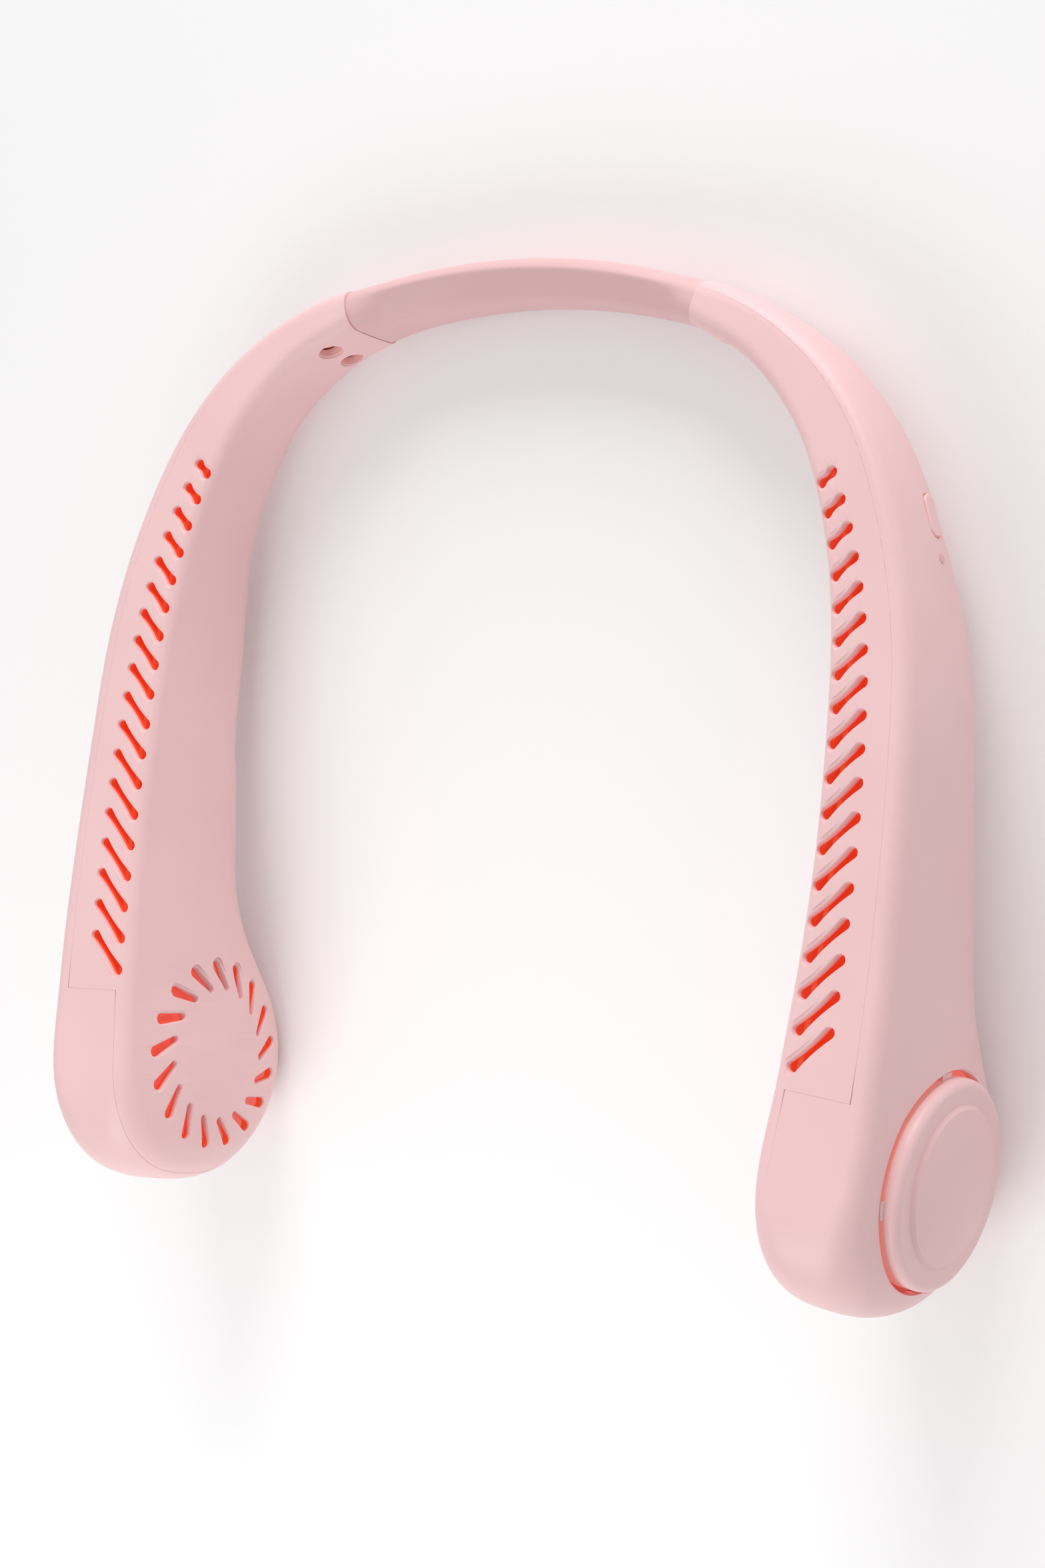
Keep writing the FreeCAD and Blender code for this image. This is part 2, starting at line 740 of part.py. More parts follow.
def inner_vents():
    """The ring of slanting vents, each square to the bulging inner face of the head."""
    start_radius = value["vent_outer_radius"] - value["vent_outer_width"] / 2
    end_radius = value["vent_inner_radius"] + value["vent_inner_width"] / 2
    swirl = math.radians(value["vent_swirl"])
    start = Vector(0, 0, start_radius)
    end = Vector(0, end_radius * math.sin(swirl), end_radius * math.cos(swirl))
    run = end - start
    middle = (start + end) / 2
    depth = value["shell_wall"] + value["overrun"]
    widths = value["vent_outer_width"], value["vent_inner_width"]
    bar = vent_cutter(run.Length / 2, *widths, depth, value["vent_rim"])
    bar.rotate(Vector(), Vector(0, 1, 0), -90)
    bar.rotate(Vector(), ACROSS, -math.degrees(math.atan2(run.y, run.z)))
    around = math.degrees(math.atan2(middle.y, middle.z))
    lean = math.degrees(math.asin(middle.Length / head_bow()))
    bar.rotate(Vector(), ACROSS, around)
    bar.rotate(Vector(), Vector(0, 1, 0), lean)
    bar.rotate(Vector(), ACROSS, -around)
    bar.translate(middle)
    cutters = []
    for index in range(int(value["vent_count"])):
        turn = Rotation(ACROSS, 360 * index / value["vent_count"])
        vent = put(bar.copy(), Placement(Vector(), turn))
        vent.translate(ACROSS * -inner_face(turn.multVec(middle)))
        cutters.append(put(vent, HEAD))
    return Part.makeCompound(cutters)


def along_fan(radius, start, length):
    """A plain cylinder along the fan's axis, from a place out from the head's middle."""
    return Part.makeCylinder(radius, length, ACROSS * start, ACROSS)


def across_arm(radius, distance, out, height, length):
    """A plain cylinder that points outward through the arm."""
    rod_shape = Part.makeCylinder(radius, length)
    rod_shape.rotate(Vector(), ACROSS, -90)
    rod_shape.Placement = local(distance, out, height).multiply(rod_shape.Placement)
    return rod_shape


def face_out(distance, height):
    """How far the arm's side stands out from the line at a height."""
    half_width, bulge, full_height, upper, lower = sizes_at(distance)
    bow = bow_radius(bulge, full_height)
    up = height - (TOP - full_height / 2)
    return half_width + bulge - bow + math.sqrt(bow ** 2 - up ** 2)


SCREW_MIDDLE = TOP - value["seam_height"] / 2
SCREW_HEIGHTS = [SCREW_MIDDLE - value["screw_spacing"] / 2, SCREW_MIDDLE + value["screw_spacing"] / 2]
TONGUE_INSET = value["shell_wall"] + value["tongue_clearance"]
TONGUE_HALF = value["seam_width"] / 2 + value["seam_bulge"] - TONGUE_INSET


# Shells

def screw_holes():
    """The wells in the inner wall and the pilot holes in the outer wall for the band's screws."""
    wells = []
    pilots = []
    distance = value["screw_distance"]
    for height in SCREW_HEIGHTS:
        wall = face_out(distance, height)
        depth = value["shell_wall"] + value["overrun"]
        well = round_cutter(value["screw_well_radius"], depth, value["screw_well_rim"])
        well.rotate(Vector(), ACROSS, 90)
        well.Placement = local(distance, -wall, height).multiply(well.Placement)
        wells.append(well)
        inside = wall - value["shell_wall"]
        pilot_start = inside - value["overrun"]
        pilot_length = value["overrun"] + value["screw_bite"]
        pilots.append(across_arm(value["screw_radius"], distance, pilot_start, height, pilot_length))
    return Part.makeCompound(wells), Part.makeCompound(pilots)


outside = arm_solid(0, 0)
hollow = arm_solid(value["shell_wall"], value["overrun"])
skin = outside.cut(hollow)
wells, pilots = screw_holes()
boss_start = (value["shell_wall"] - value["head_thickness"]) / 2
boss = put(along_fan(value["motor_boss_radius"], boss_start, value["motor_seat"] - boss_start), HEAD)
inner_skin = skin.common(inner_side(0)).fuse(boss).removeSplitter()
inner_skin = inner_skin.cut(Part.makeCompound([outlet_slots(), inner_vents(), wells]))
intake_level = head_level(value["intake_radius"], 0)
opening = round_cutter(value["intake_radius"], intake_level, value["intake_rim"])
opening = put(opening, HEAD.multiply(Placement(ACROSS * intake_level, ALONG_X)))
crown_cut = put(along_fan(value["intake_radius"], intake_level, value["head_thickness"]), HEAD)
outer_skin = skin.cut(inner_side(value["parting_gap"])).cut(opening.fuse(crown_cut)).cut(pilots)

node("right_inner_shell", feature("InnerShell", inner_skin))
outer_blank = feature("OuterShellBlank", outer_skin)


# Intake cap

def cap_profile():
    """Half outline of the cap in radius and distance out from the head's middle."""
    edge = value["intake_radius"] - value["intake_slit"]
    level = head_level(edge, 0)
    rim = level + value["cap_rim_rise"]
    round_off = value["cap_edge_radius"]
    step = value["cap_step_radius"]
    step_top = rim + value["cap_step_rise"]
    crown = step_top + value["cap_dome_rise"]
    wall = value["cap_wall"]
    slant = value["cap_step_rise"]
    foot = level - value["cap_skirt"]
    bend = round_off * (1 - math.cos(math.pi / 4))
    dome_edge = step - slant
    dome_bow = (dome_edge ** 2 + value["cap_dome_rise"] ** 2) / (2 * value["cap_dome_rise"])
    dome_angle = math.asin(dome_edge / dome_bow) / 2
    dome_out = dome_bow * math.sin(dome_angle)
    dome_drop = dome_bow * (1 - math.cos(dome_angle))
    return {
        "foot": (edge, foot),
        "shoulder": (edge, rim - round_off),
        "bend": (edge - bend, rim - bend),
        "rim": (edge - round_off, rim),
        "step": (step, rim),
        "step_top": (dome_edge, step_top),
        "dome": (dome_out, crown - dome_drop),
        "crown": (0, crown),
        "under_crown": (0, crown - wall),
        "under_dome": (dome_out, crown - dome_drop - wall),
        "under_step": (dome_edge, step_top - wall),
        "under_rim": (edge - wall, rim - wall),
        "inner_foot": (edge - wall, foot),
    }


def cap_shape():
    """A domed disc with a raised middle, held over the intake by small tabs with hooks."""
    profile = cap_profile()
    place = {name: Vector(out, 0, radius) for name, (radius, out) in profile.items()}
    edges = [
        Part.makeLine(place["foot"], place["shoulder"]),
        Part.Arc(place["shoulder"], place["bend"], place["rim"]).toShape(),
        Part.makeLine(place["rim"], place["step"]),
        Part.makeLine(place["step"], place["step_top"]),
        Part.Arc(place["step_top"], place["dome"], place["crown"]).toShape(),
        Part.makeLine(place["crown"], place["under_crown"]),
        Part.Arc(place["under_crown"], place["under_dome"], place["under_step"]).toShape(),
        Part.makeLine(place["under_step"], place["under_rim"]),
        Part.makeLine(place["under_rim"], place["inner_foot"]),
        Part.makeLine(place["inner_foot"], place["foot"]),
    ]
    disc = Part.Face(Part.Wire(edges)).revolve(Vector(), ACROSS, 360)
    edge, foot = profile["foot"]
    root = edge - value["cap_wall"] / 2
    width = value["cap_tab_width"]
    hook_reach = value["intake_radius"] + value["cap_hook_reach"]
    hook_top = head_level(hook_reach, value["shell_wall"]) - value["cap_hook_clearance"]
    tabs = []
    for index in range(int(value["cap_tab_count"])):
        bridge = Part.makeBox(value["cap_skirt"], width, value["intake_radius"] - root)
        bridge.translate(Vector(foot, -width / 2, root))
        hook = Part.makeBox(foot + value["overrun"] - hook_top + value["cap_wall"], width, hook_reach - root)
        hook.translate(Vector(hook_top - value["cap_wall"], -width / 2, root))
        trim = Part.makeBox(value["head_thickness"], width, hook_reach)
        trim.translate(Vector(hook_top, -width / 2, value["intake_radius"]))
        tab = bridge.fuse(hook).cut(trim)
        tab.rotate(Vector(), ACROSS, value["cap_tab_angle"] + 360 * index / value["cap_tab_count"])
        tabs.append(tab)
    inside = along_fan(value["intake_radius"], 0, value["head_thickness"])
    hooks_only = along_fan(hook_reach, 0, hook_top)
    return disc.fuse([tab.common(inside.fuse(hooks_only)) for tab in tabs]).removeSplitter()


on_head("right_intake_cap", feature("IntakeCap", cap_shape()))


# Air duct: an open gutter under the slotted strip

DUCT_TOP = TOP - value["shell_wall"] - value["duct_clearance"]
DUCT_FLOOR = DUCT_TOP - value["duct_depth"]


def duct_shape():
    """The gutter, closed at its band end, and carried on over the fan as far as its gap allows."""
    def side(distance):
        return half_width_at(distance) - value["shell_wall"] - value["duct_side_gap"]

    def other_side(distance):
        return -side(distance)

    def inside(distance):
        return side(distance) - value["duct_wall"]

    def other_inside(distance):
        return -inside(distance)

    start = SHOULDER_LENGTH - value["duct_end_gap"]
    clear_radius = value["impeller_radius"] + value["duct_fan_gap"]
    above_fan = DUCT_FLOOR - value["fan_z"]
    end = ARM_LENGTH - math.sqrt(max(clear_radius ** 2 - above_fan ** 2, 0))
    block = slab(other_side, side, start, end, DUCT_FLOOR, DUCT_TOP)
    channel_start = start + value["duct_wall"]
    channel_end = end + value["overrun"]
    channel_top = DUCT_TOP + value["overrun"]
    floor = DUCT_FLOOR + value["duct_wall"]
    channel = slab(other_inside, inside, channel_start, channel_end, floor, channel_top)
    return block.cut(channel)


node("right_air_duct", feature("AirDuct", duct_shape()))


# Motor, with its axis along X

flange = rod("Flange", "Sizes.flange_radius", "Sizes.motor_seat", "Sizes.flange_thickness")
tube_start = "Sizes.motor_seat + Sizes.flange_thickness"
post = rod("BearingPost", "Sizes.tube_radius", tube_start, "Sizes.tube_length")
bore_length = "Sizes.tube_length + Sizes.flange_thickness / 2"
bore = rod("BearingBore", "Sizes.bearing_radius", "Sizes.bore_start", bore_length + " + Sizes.overrun")
on_head("right_motor_base", cut("MotorBase", fused("FlangeAndPost", [flange, post]), bore))

bush_bore = "Sizes.shaft_radius + Sizes.shaft_clearance"
bush = tube("ShaftBearing", "Sizes.bearing_radius", bush_bore, "Sizes.bore_start", bore_length)
on_head("right_shaft_bearing", bush)
shaft = doc.addObject("Part::Chamfer", "MotorShaft")
shaft.Base = rod("ShaftBar", "Sizes.shaft_radius", "Sizes.shaft_start", "Sizes.shaft_length")
doc.recompute()
ends = [index for index, edge in enumerate(shaft.Base.Shape.Edges, 1) if edge.isClosed()]
shaft.Edges = [(index, value["shaft_chamfer"], value["shaft_chamfer"]) for index in ends]
on_head("right_motor_shaft", shaft)

magnet_length = "Sizes.stator_length + 2 * Sizes.magnet_overhang"
magnet = tube("MagnetRing", "Sizes.magnet_radius", "Sizes.magnet_bore", "Sizes.magnet_start", magnet_length)
on_head("right_magnet_ring", magnet)
yoke_length = "Sizes.hub_ceiling - Sizes.magnet_start"
yoke = tube("RotorYoke", "Sizes.yoke_radius", "Sizes.magnet_radius", "Sizes.magnet_start", yoke_length)
on_head("right_rotor_yoke", yoke)


def poles(shape):
    """Copies of a shape round the fan's axis, one at each pole, moved to the stator's place."""
    copies = []
    for index in range(int(value["pole_count"])):
        copy = shape.copy()
        copy.rotate(Vector(), ACROSS, 360 * index / value["pole_count"])
        copy.translate(ACROSS * value["stator_start"])
        copies.append(copy)
    return copies


def stator_shape():
    """The laminated core: a ring on the bearing post, with T-shaped poles."""
    length = value["stator_length"]
    ring_radius = value["tube_radius"] + value["stator_core_ring"]
    shoe_bore = value["stator_radius"] - value["pole_shoe"]
    arm_height = shoe_bore + value["pole_shoe"] / 2 - value["tube_radius"] - value["stator_core_ring"] / 2
    limb = Part.makeBox(length, value["pole_width"], arm_height)
    limb.translate(Vector(0, -value["pole_width"] / 2, value["tube_radius"] + value["stator_core_ring"] / 2))
    span = value["pole_shoe_span"]
    wedge = Part.makeCylinder(value["stator_radius"], length, Vector(), ACROSS, span)
    shoe = wedge.cut(Part.makeCylinder(shoe_bore, length, Vector(), ACROSS, span))
    shoe.rotate(Vector(), ACROSS, -span / 2)
    ring = along_fan(ring_radius, value["stator_start"], length)
    core = ring.fuse(poles(limb.fuse(shoe)))
    return core.cut(along_fan(value["tube_radius"], value["stator_start"], length)).removeSplitter()


def winding_shapes():
    """One block of wire round each pole."""
    start = value["tube_radius"] + value["stator_core_ring"] + value["winding_gap"]
    shoe_bore = value["stator_radius"] - value["pole_shoe"]
    end = shoe_bore * math.cos(math.radians(value["pole_shoe_span"] / 2)) - value["winding_gap"]
    width = value["pole_width"] + 2 * value["winding_thickness"]
    length = value["stator_length"] + 2 * value["winding_overhang"]
    block = Part.makeBox(length, width, end - start)
    block.translate(Vector(-value["winding_overhang"], -width / 2, start))
    limb = Part.makeBox(value["stator_length"], value["pole_width"], value["stator_radius"])
    limb.translate(Vector(0, -value["pole_width"] / 2, 0))
    return Part.makeCompound(poles(block.cut(limb)))


on_head("right_stator_core", feature("StatorCore", stator_shape()))
on_head("right_stator_windings", feature("StatorWindings", winding_shapes()))


# Impeller: a hub over the motor, a plate in its middle and curved blades on both faces of the plate

def sketch_on(body, name, role):
    """A sketch on one of a body's own planes."""
    sketch = body.newObject("Sketcher::SketchObject", name)
    plane = [item for item in body.Origin.OriginFeatures if item.Role == role][0]
    sketch.AttachmentSupport = [(plane, "")]
    sketch.MapMode = "FlatFace"
    return sketch


def round_sketch(body, name, radius):
    """A sketch of one circle about the body's axis, with its radius tied to the sheet."""
    import Sketcher
    sketch = sketch_on(body, name, "XY_Plane")
    sketch.addGeometry(Part.Circle(Vector(), UP, 1), False)
    sketch.addConstraint(Sketcher.Constraint("Coincident", 0, 3, -1, 1))
    sketch.addConstraint(Sketcher.Constraint("Radius", 0, 1))
    sketch.setExpression("Constraints[1]", radius)
    return sketch


def lift(sketch, height):
    """Raise a sketch off its plane."""
    sketch.setExpression("AttachmentOffset.Base.z", height)
    return sketch


def pad(body, name, sketch, length):
    thing = body.newObject("PartDesign::Pad", name)
    thing.Profile = sketch
    thing.setExpression("Length", length)
    return thing


def pocket(body, name, sketch, length):
    """A pocket that cuts upward from its sketch."""
    thing = body.newObject("PartDesign::Pocket", name)
    thing.Profile = sketch
    thing.Reversed = True
    thing.setExpression("Length", length)
    return thing


def blade_sketch(body):
    """One blade seen along the axis: two bowed sides between the root and the tip."""
    sketch = sketch_on(body, "BladeOutline", "XY_Plane")
    half = value["blade_thickness"] / 2
    root = value["hub_radius"] + value["blade_root_gap"]
    tip = value["impeller_radius"]
    sweep = math.radians(value["blade_sweep"])
    first = Vector(root, 0, 0)
    last = Vector(tip * math.cos(sweep), tip * math.sin(sweep), 0)
    side = (last - first).cross(UP).normalize()
    middle = (first + last) / 2 + side * value["blade_bow"]
    low = Part.Arc(first + side * half, middle + side * half, last + side * half)
    high = Part.Arc(first - side * half, middle - side * half, last - side * half)
    sketch.addGeometry(low, False)
    sketch.addGeometry(high, False)
    sketch.addGeometry(Part.LineSegment(first + side * half, first - side * half), False)
    sketch.addGeometry(Part.LineSegment(last + side * half, last - side * half), False)
    return sketch


def impeller_body():
    """The impeller, drawn with its axis upward from the plate's middle."""
    body = doc.addObject("PartDesign::Body", "Impeller")
    plate = lift(round_sketch(body, "PlateOutline", "Sizes.impeller_radius"), "-Sizes.impeller_plate / 2")
    pad(body, "Plate", plate, "Sizes.impeller_plate")
    hub = lift(round_sketch(body, "HubOutline", "Sizes.hub_radius"), "Sizes.hub_start")
    pad(body, "Hub", hub, "Sizes.hub_ceiling + Sizes.hub_wall - Sizes.hub_start")
    boss_place = "Sizes.hub_ceiling"
    hub_boss = lift(round_sketch(body, "BossOutline", "Sizes.hub_boss_radius"), boss_place)
    pad(body, "Boss", hub_boss, "Sizes.shaft_end - Sizes.hub_ceiling")
    cup = lift(round_sketch(body, "CupOutline", "Sizes.yoke_radius"), "Sizes.hub_start")
    pocket(body, "Cup", cup, "Sizes.hub_ceiling - Sizes.hub_start")
    hole = lift(round_sketch(body, "ShaftOutline", "Sizes.shaft_radius"), "Sizes.hub_start")
    pocket(body, "ShaftHole", hole, "Sizes.shaft_end - Sizes.hub_start + Sizes.overrun")
    blade = pad(body, "Blade", lift(blade_sketch(body), "-Sizes.blade_height / 2"), "Sizes.blade_height")
    doc.recompute()
    ring = body.newObject("PartDesign::PolarPattern", "Blades")
    ring.Originals = [blade]
    axis = [item for item in body.Origin.OriginFeatures if item.Role == "Z_Axis"][0]
    ring.Axis = (axis, [""])
    ring.Angle = 360
    ring.setExpression("Occurrences", "Sizes.blade_count")
    body.Tip = ring
    body.Placement = Placement(Vector(), ALONG_X)
    return body


on_head("right_impeller", impeller_body())


# Battery cell, taped under the duct's floor

def cell_shape():
    """A soft-cornered cell that lies along the leg."""
    length = value["cell_length"]
    cell = Part.makeBox(length, value["cell_width"], value["cell_height"])
    long_edges = [edge for edge in cell.Edges if abs(edge.tangentAt(edge.FirstParameter).x) > 0.5]
    cell = cell.makeFillet(value["cell_corner_radius"], long_edges)
    cell.translate(Vector(-length / 2, -value["cell_width"] / 2, -value["cell_height"]))
    return put(cell, local(LEG_START + value["cell_lead"] + length / 2, 0, DUCT_FLOOR))


node("right_battery_cell", feature("BatteryCell", cell_shape()))


# Screws that hold the band's tongue

def screw_shapes():
    """Two screws with crossed drives, from their wells through the tongue to the outer wall."""
    screws = []
    distance = value["screw_distance"]
    head_foot = -TONGUE_HALF - value["screw_head_gap"]
    for height in SCREW_HEIGHTS:
        tip = face_out(distance, height) - value["shell_wall"] + value["screw_bite"]
        head_top = head_foot - value["screw_head_height"]
        head = across_arm(value["screw_head_radius"], distance, head_top, height, value["screw_head_height"])
        shank = across_arm(value["screw_radius"], distance, head_foot, height, tip - head_foot)
        screw = head.fuse(shank).removeSplitter()
        reach = 2 * value["screw_head_radius"] - value["screw_drive_width"]
        depth = value["screw_drive_depth"] + value["overrun"]
        for wide, tall in ((reach, value["screw_drive_width"]), (value["screw_drive_width"], reach)):
            drive = Part.makeBox(wide, depth, tall)
            drive.translate(Vector(-wide / 2, -value["overrun"], -tall / 2))
            drive.Placement = local(distance, head_top, height).multiply(drive.Placement)
            screw = screw.cut(drive)
        screws.append(screw)
    return Part.makeCompound(screws)


node("right_band_screws", feature("BandScrews", screw_shapes()))


# Band and its cable

SEAM_PLACE = SEAM + UP * SCREW_MIDDLE
GAP_TURN = value["seam_gap"] / value["band_bend_radius"]


def seam_face(sizes):
    """A face of given section at the right seam."""
    return Part.Face(outline(SEAM_PLACE, outward(SEAM_TURN), sizes))


def swept_band(face, short):
    """A face at the right seam, turned back through the bend and stopped short of both seams."""
    start = face.copy()
    start.rotate(BAND_CENTRE, UP, math.degrees(short))
    return start.revolve(BAND_CENTRE, UP, 2 * math.degrees(SEAM_TURN - short))


def swept_tongue(face, length):
    """A face at the right seam, carried into the arm along the shoulder."""
    return face.revolve(SHOULDER_CENTRE, UP, -math.degrees(length / SHOULDER_RADIUS))


def mirrored(shape):
    return shape.mirror(Vector(), ACROSS)


def cable_run(radius, tail):
    """The cable's path through the band and both tongues, half way up the band."""
    circle = Part.Circle(SEAM_PLACE, onward(SEAM_TURN), radius)
    face = Part.Face(Part.Wire(circle.toShape()))
    end = swept_tongue(face, tail)
    return swept_band(face, 0).fuse([end, mirrored(end)]).removeSplitter()


def band_shape():
    """The band with a tongue at each end, its cable hole and the screws' clearance holes."""
    tongue_face = seam_face(inset_sizes(sizes_at(0), TONGUE_INSET))
    tongue = swept_tongue(tongue_face, value["tongue_length"])
    core = swept_band(tongue_face, 0).fuse([tongue, mirrored(tongue)])
    body = swept_band(seam_face(BAND_SIZES), GAP_TURN).fuse(core).removeSplitter()
    run = cable_run(value["cable_radius"] + value["cable_clearance"], value["tongue_length"] + value["overrun"])
    holes = []
    radius = value["screw_radius"] + value["tongue_clearance"]
    reach = TONGUE_HALF + value["overrun"]
    for height in SCREW_HEIGHTS:
        hole = across_arm(radius, value["screw_distance"], -reach, height, 2 * reach)
        holes += [hole, mirrored(hole)]
    return body.cut(Part.makeCompound(holes)).cut(run)


node("neck_band", feature("NeckBand", band_shape()))
cable_end = value["tongue_length"] + value["cable_tail"]
node("neck_cable", feature("NeckCable", cable_run(value["cable_radius"], cable_end)))


# Controls on the right arm

BOARD_BOTTOM = DUCT_FLOOR - value["board_gap"] - value["board_height"]
BUTTON_DISTANCE = SHOULDER_LENGTH + value["button_distance"]
LENS_DISTANCE = SHOULDER_LENGTH + value["lens_distance"]
USB_DISTANCE = SHOULDER_LENGTH + value["usb_distance"]
BOARD_FRAME = local(BUTTON_DISTANCE, value["board_inset"], BOARD_BOTTOM)
BOARD_START = -value["board_lead"]
BOARD_END = BOARD_START + value["board_length"]


def on_board(distance, out, height):
    """A placement square to the board, by distances along it from the button, out from it and up it."""
    return BOARD_FRAME.multiply(Placement(Vector(distance, out, height), Rotation()))


def board_place(distance):
    """Place along the board that faces a distance along the arm."""
    inverse = BOARD_FRAME.inverse()
    return inverse.multVec(line_at(distance)).x


def block(name, place, length, width, height):
    """A box on the board: along it, out from it and up."""
    thing = doc.addObject("Part::Box", name)
    thing.Placement = place
    return bind(thing, Length=length, Width=width, Height=height)


board = block("CircuitBoard", on_board(BOARD_START, 0, 0), "Sizes.board_length", "Sizes.board_thickness",
              "Sizes.board_height")
node("main_circuit_board", board)

SWITCH_LOW = (value["board_height"] - value["switch_size"]) / 2
switch = block("TactileSwitch",
               on_board(-value["switch_size"] / 2, value["board_thickness"], SWITCH_LOW),
               "Sizes.switch_size", "Sizes.switch_height", "Sizes.switch_size")
node("tactile_switch", switch)
SWITCH_OUT = value["board_thickness"] + value["switch_height"]


def arm_face_on_board(place, height):
    """How far the arm's outer face stands out from the board, at a place along it."""
    start = on_board(place, 0, height).Base
    ray = Part.makeLine(start, on_board(place, 4 * value["leg_width"], height).Base)
    hits = ray.common(outside).Edges
    far = max((vertex.Point - start).Length for edge in hits for vertex in edge.Vertexes)
    return far


BUTTON_FACE = arm_face_on_board(0, value["board_height"] / 2)


def pill(length, width, start, end, edge_radius):
    """A round-ended bar that points out from the board in front of the switch, with a rounded or a flat end."""
    bar = stadium(length, width, end - start)
    if edge_radius:
        far_edges = [edge for edge in bar.Edges if edge.BoundBox.ZMin > (end - start) / 2]
        bar = bar.makeFillet(edge_radius, far_edges)
    bar.rotate(Vector(), ACROSS, -90)
    bar.Placement = on_board(0, start, value["board_height"] / 2).multiply(bar.Placement)
    return bar


def button_shape():
    """A pill-shaped key with a flange behind the wall, a gap of its travel above the switch."""
    top = BUTTON_FACE + value["button_proud"]
    foot = SWITCH_OUT + value["button_travel"] + value["button_clearance"]
    flange_top = BUTTON_FACE - value["shell_wall"] - value["button_flange_gap"]
    grow = 2 * value["button_flange"]
    key = pill(value["button_length"], value["button_width"], foot, top, value["button_edge_radius"])
    rim = pill(value["button_length"] + grow, value["button_width"] + grow,
               flange_top - value["button_flange_thickness"], flange_top, 0)
    return key.fuse(rim).removeSplitter()


def usb_parts():
    """The socket's shell with its tongue, its opening downward, and the hole that it takes in the arm."""
    place = board_place(USB_DISTANCE)
    length = value["usb_length"]
    width = value["usb_width"]
    floor_height = TOP - height_at(USB_DISTANCE) - BOARD_BOTTOM
    low = on_board(place - length / 2, -width, floor_height + value["usb_recess"])
    case = Part.makeBox(length, width, value["usb_depth"])
    case = case.makeFillet(width / 3, [edge for edge in case.Edges if is_upright(edge)])
    wall = value["usb_wall"]
    mouth = Part.makeBox(length - 2 * wall, width - 2 * wall, value["usb_depth"] - wall)
    mouth = mouth.makeFillet((width - 2 * wall) / 3, [edge for edge in mouth.Edges if is_upright(edge)])
    mouth.translate(Vector(wall, wall, 0))
    tongue = Part.makeBox(length - width, value["usb_tongue"], value["usb_depth"] - 2 * wall)
    tongue.translate(Vector(width / 2, (width - value["usb_tongue"]) / 2, 2 * wall))
    socket = case.cut(mouth).fuse(tongue)
    gap = value["usb_clearance"]
    hole = Part.makeBox(length + 2 * gap, width + 2 * gap, value["usb_depth"] + value["overrun"])
    hole = hole.makeFillet(width / 3 + gap, [edge for edge in hole.Edges if is_upright(edge)])
    hole.translate(Vector(-gap, -gap, -value["overrun"]))
    for shape in (socket, hole):
        shape.Placement = low.multiply(shape.Placement)
    return socket, hole


def is_upright(edge):
    """Whether an edge runs straight up."""
    return abs(edge.tangentAt(edge.FirstParameter).z) > 0.5


def board_posts():
    """Two posts on the outer wall that the board is seated on."""
    posts = []
    for place in (BOARD_START + value["board_post_margin"], BOARD_END - value["board_post_margin"]):
        height = value["board_height"] / 2
        reach = arm_face_on_board(place, height) - value["shell_wall"] / 2
        post_shape = Part.makeCylinder(value["board_post_radius"], reach - value["board_thickness"])
        post_shape.rotate(Vector(), ACROSS, -90)
        seat = on_board(place, value["board_thickness"], height)
        post_shape.Placement = seat.multiply(post_shape.Placement)
        posts.append(post_shape)
    return posts


def lens_shape(grow, start, end):
    """A round window through the outer wall."""
    shape = Part.makeCylinder(value["lens_radius"] + grow, end - start)
    shape.rotate(Vector(), ACROSS, -90)
    seat = on_board(board_place(LENS_DISTANCE), start, value["board_height"] / 2)
    shape.Placement = seat.multiply(shape.Placement)
    return shape


LENS_FACE = arm_face_on_board(board_place(LENS_DISTANCE), value["board_height"] / 2)
lens_start = LENS_FACE - value["shell_wall"]
node("power_button", feature("PowerButton", button_shape()))
node("indicator_lens", feature("IndicatorLens", lens_shape(0, lens_start, LENS_FACE + value["lens_proud"])))
socket, socket_hole = usb_parts()
node("usb_socket", feature("UsbSocket", socket))
button_hole = pill(value["button_length"] + 2 * value["button_clearance"],
                   value["button_width"] + 2 * value["button_clearance"],
                   SWITCH_OUT, BUTTON_FACE + value["overrun"], 0)
lens_hole = lens_shape(0, SWITCH_OUT, LENS_FACE + value["overrun"])
right_outer = outer_skin.fuse(board_posts()).removeSplitter()
right_outer = right_outer.cut(Part.makeCompound([button_hole, lens_hole, socket_hole]))
node("right_outer_shell", feature("OuterShell", right_outer))


# Rest: tip the fan back until its heads and its band meet the table, and centre it there

def rest_placement():
    """The tilt that brings the heads and the band's lower edge on to one level, then the shift to the centre."""
    corner = value["band_crease_radius"]
    side, low, round_off, high = half_section(*BAND_SIZES[:4])
    back_y = BAND_MIDDLE + high[0] - FAN.y
    back_z = SCREW_MIDDLE - value["band_height"] / 2 + corner - FAN.z
    reach = math.hypot(back_y, back_z)
    tilt = math.asin((value["head_radius"] - corner) / reach) + math.atan2(back_z, back_y)
    turn = Placement(Vector(), Rotation(ACROSS, -math.degrees(tilt)))
    lowest_shapes = outside, nodes["neck_band"].Shape
    boxes = [put(shape.copy(), turn).optimalBoundingBox(False) for shape in lowest_shapes]
    front = min(box.YMin for box in boxes)
    back = max(box.YMax for box in boxes)
    shift = Vector(0, -(front + back) / 2, -min(box.ZMin for box in boxes))
    return Placement(shift, Rotation()).multiply(turn)


REST = rest_placement()
for thing in [outer_blank] + list(nodes.values()):
    thing.Placement = REST.multiply(thing.Placement)
doc.recompute()

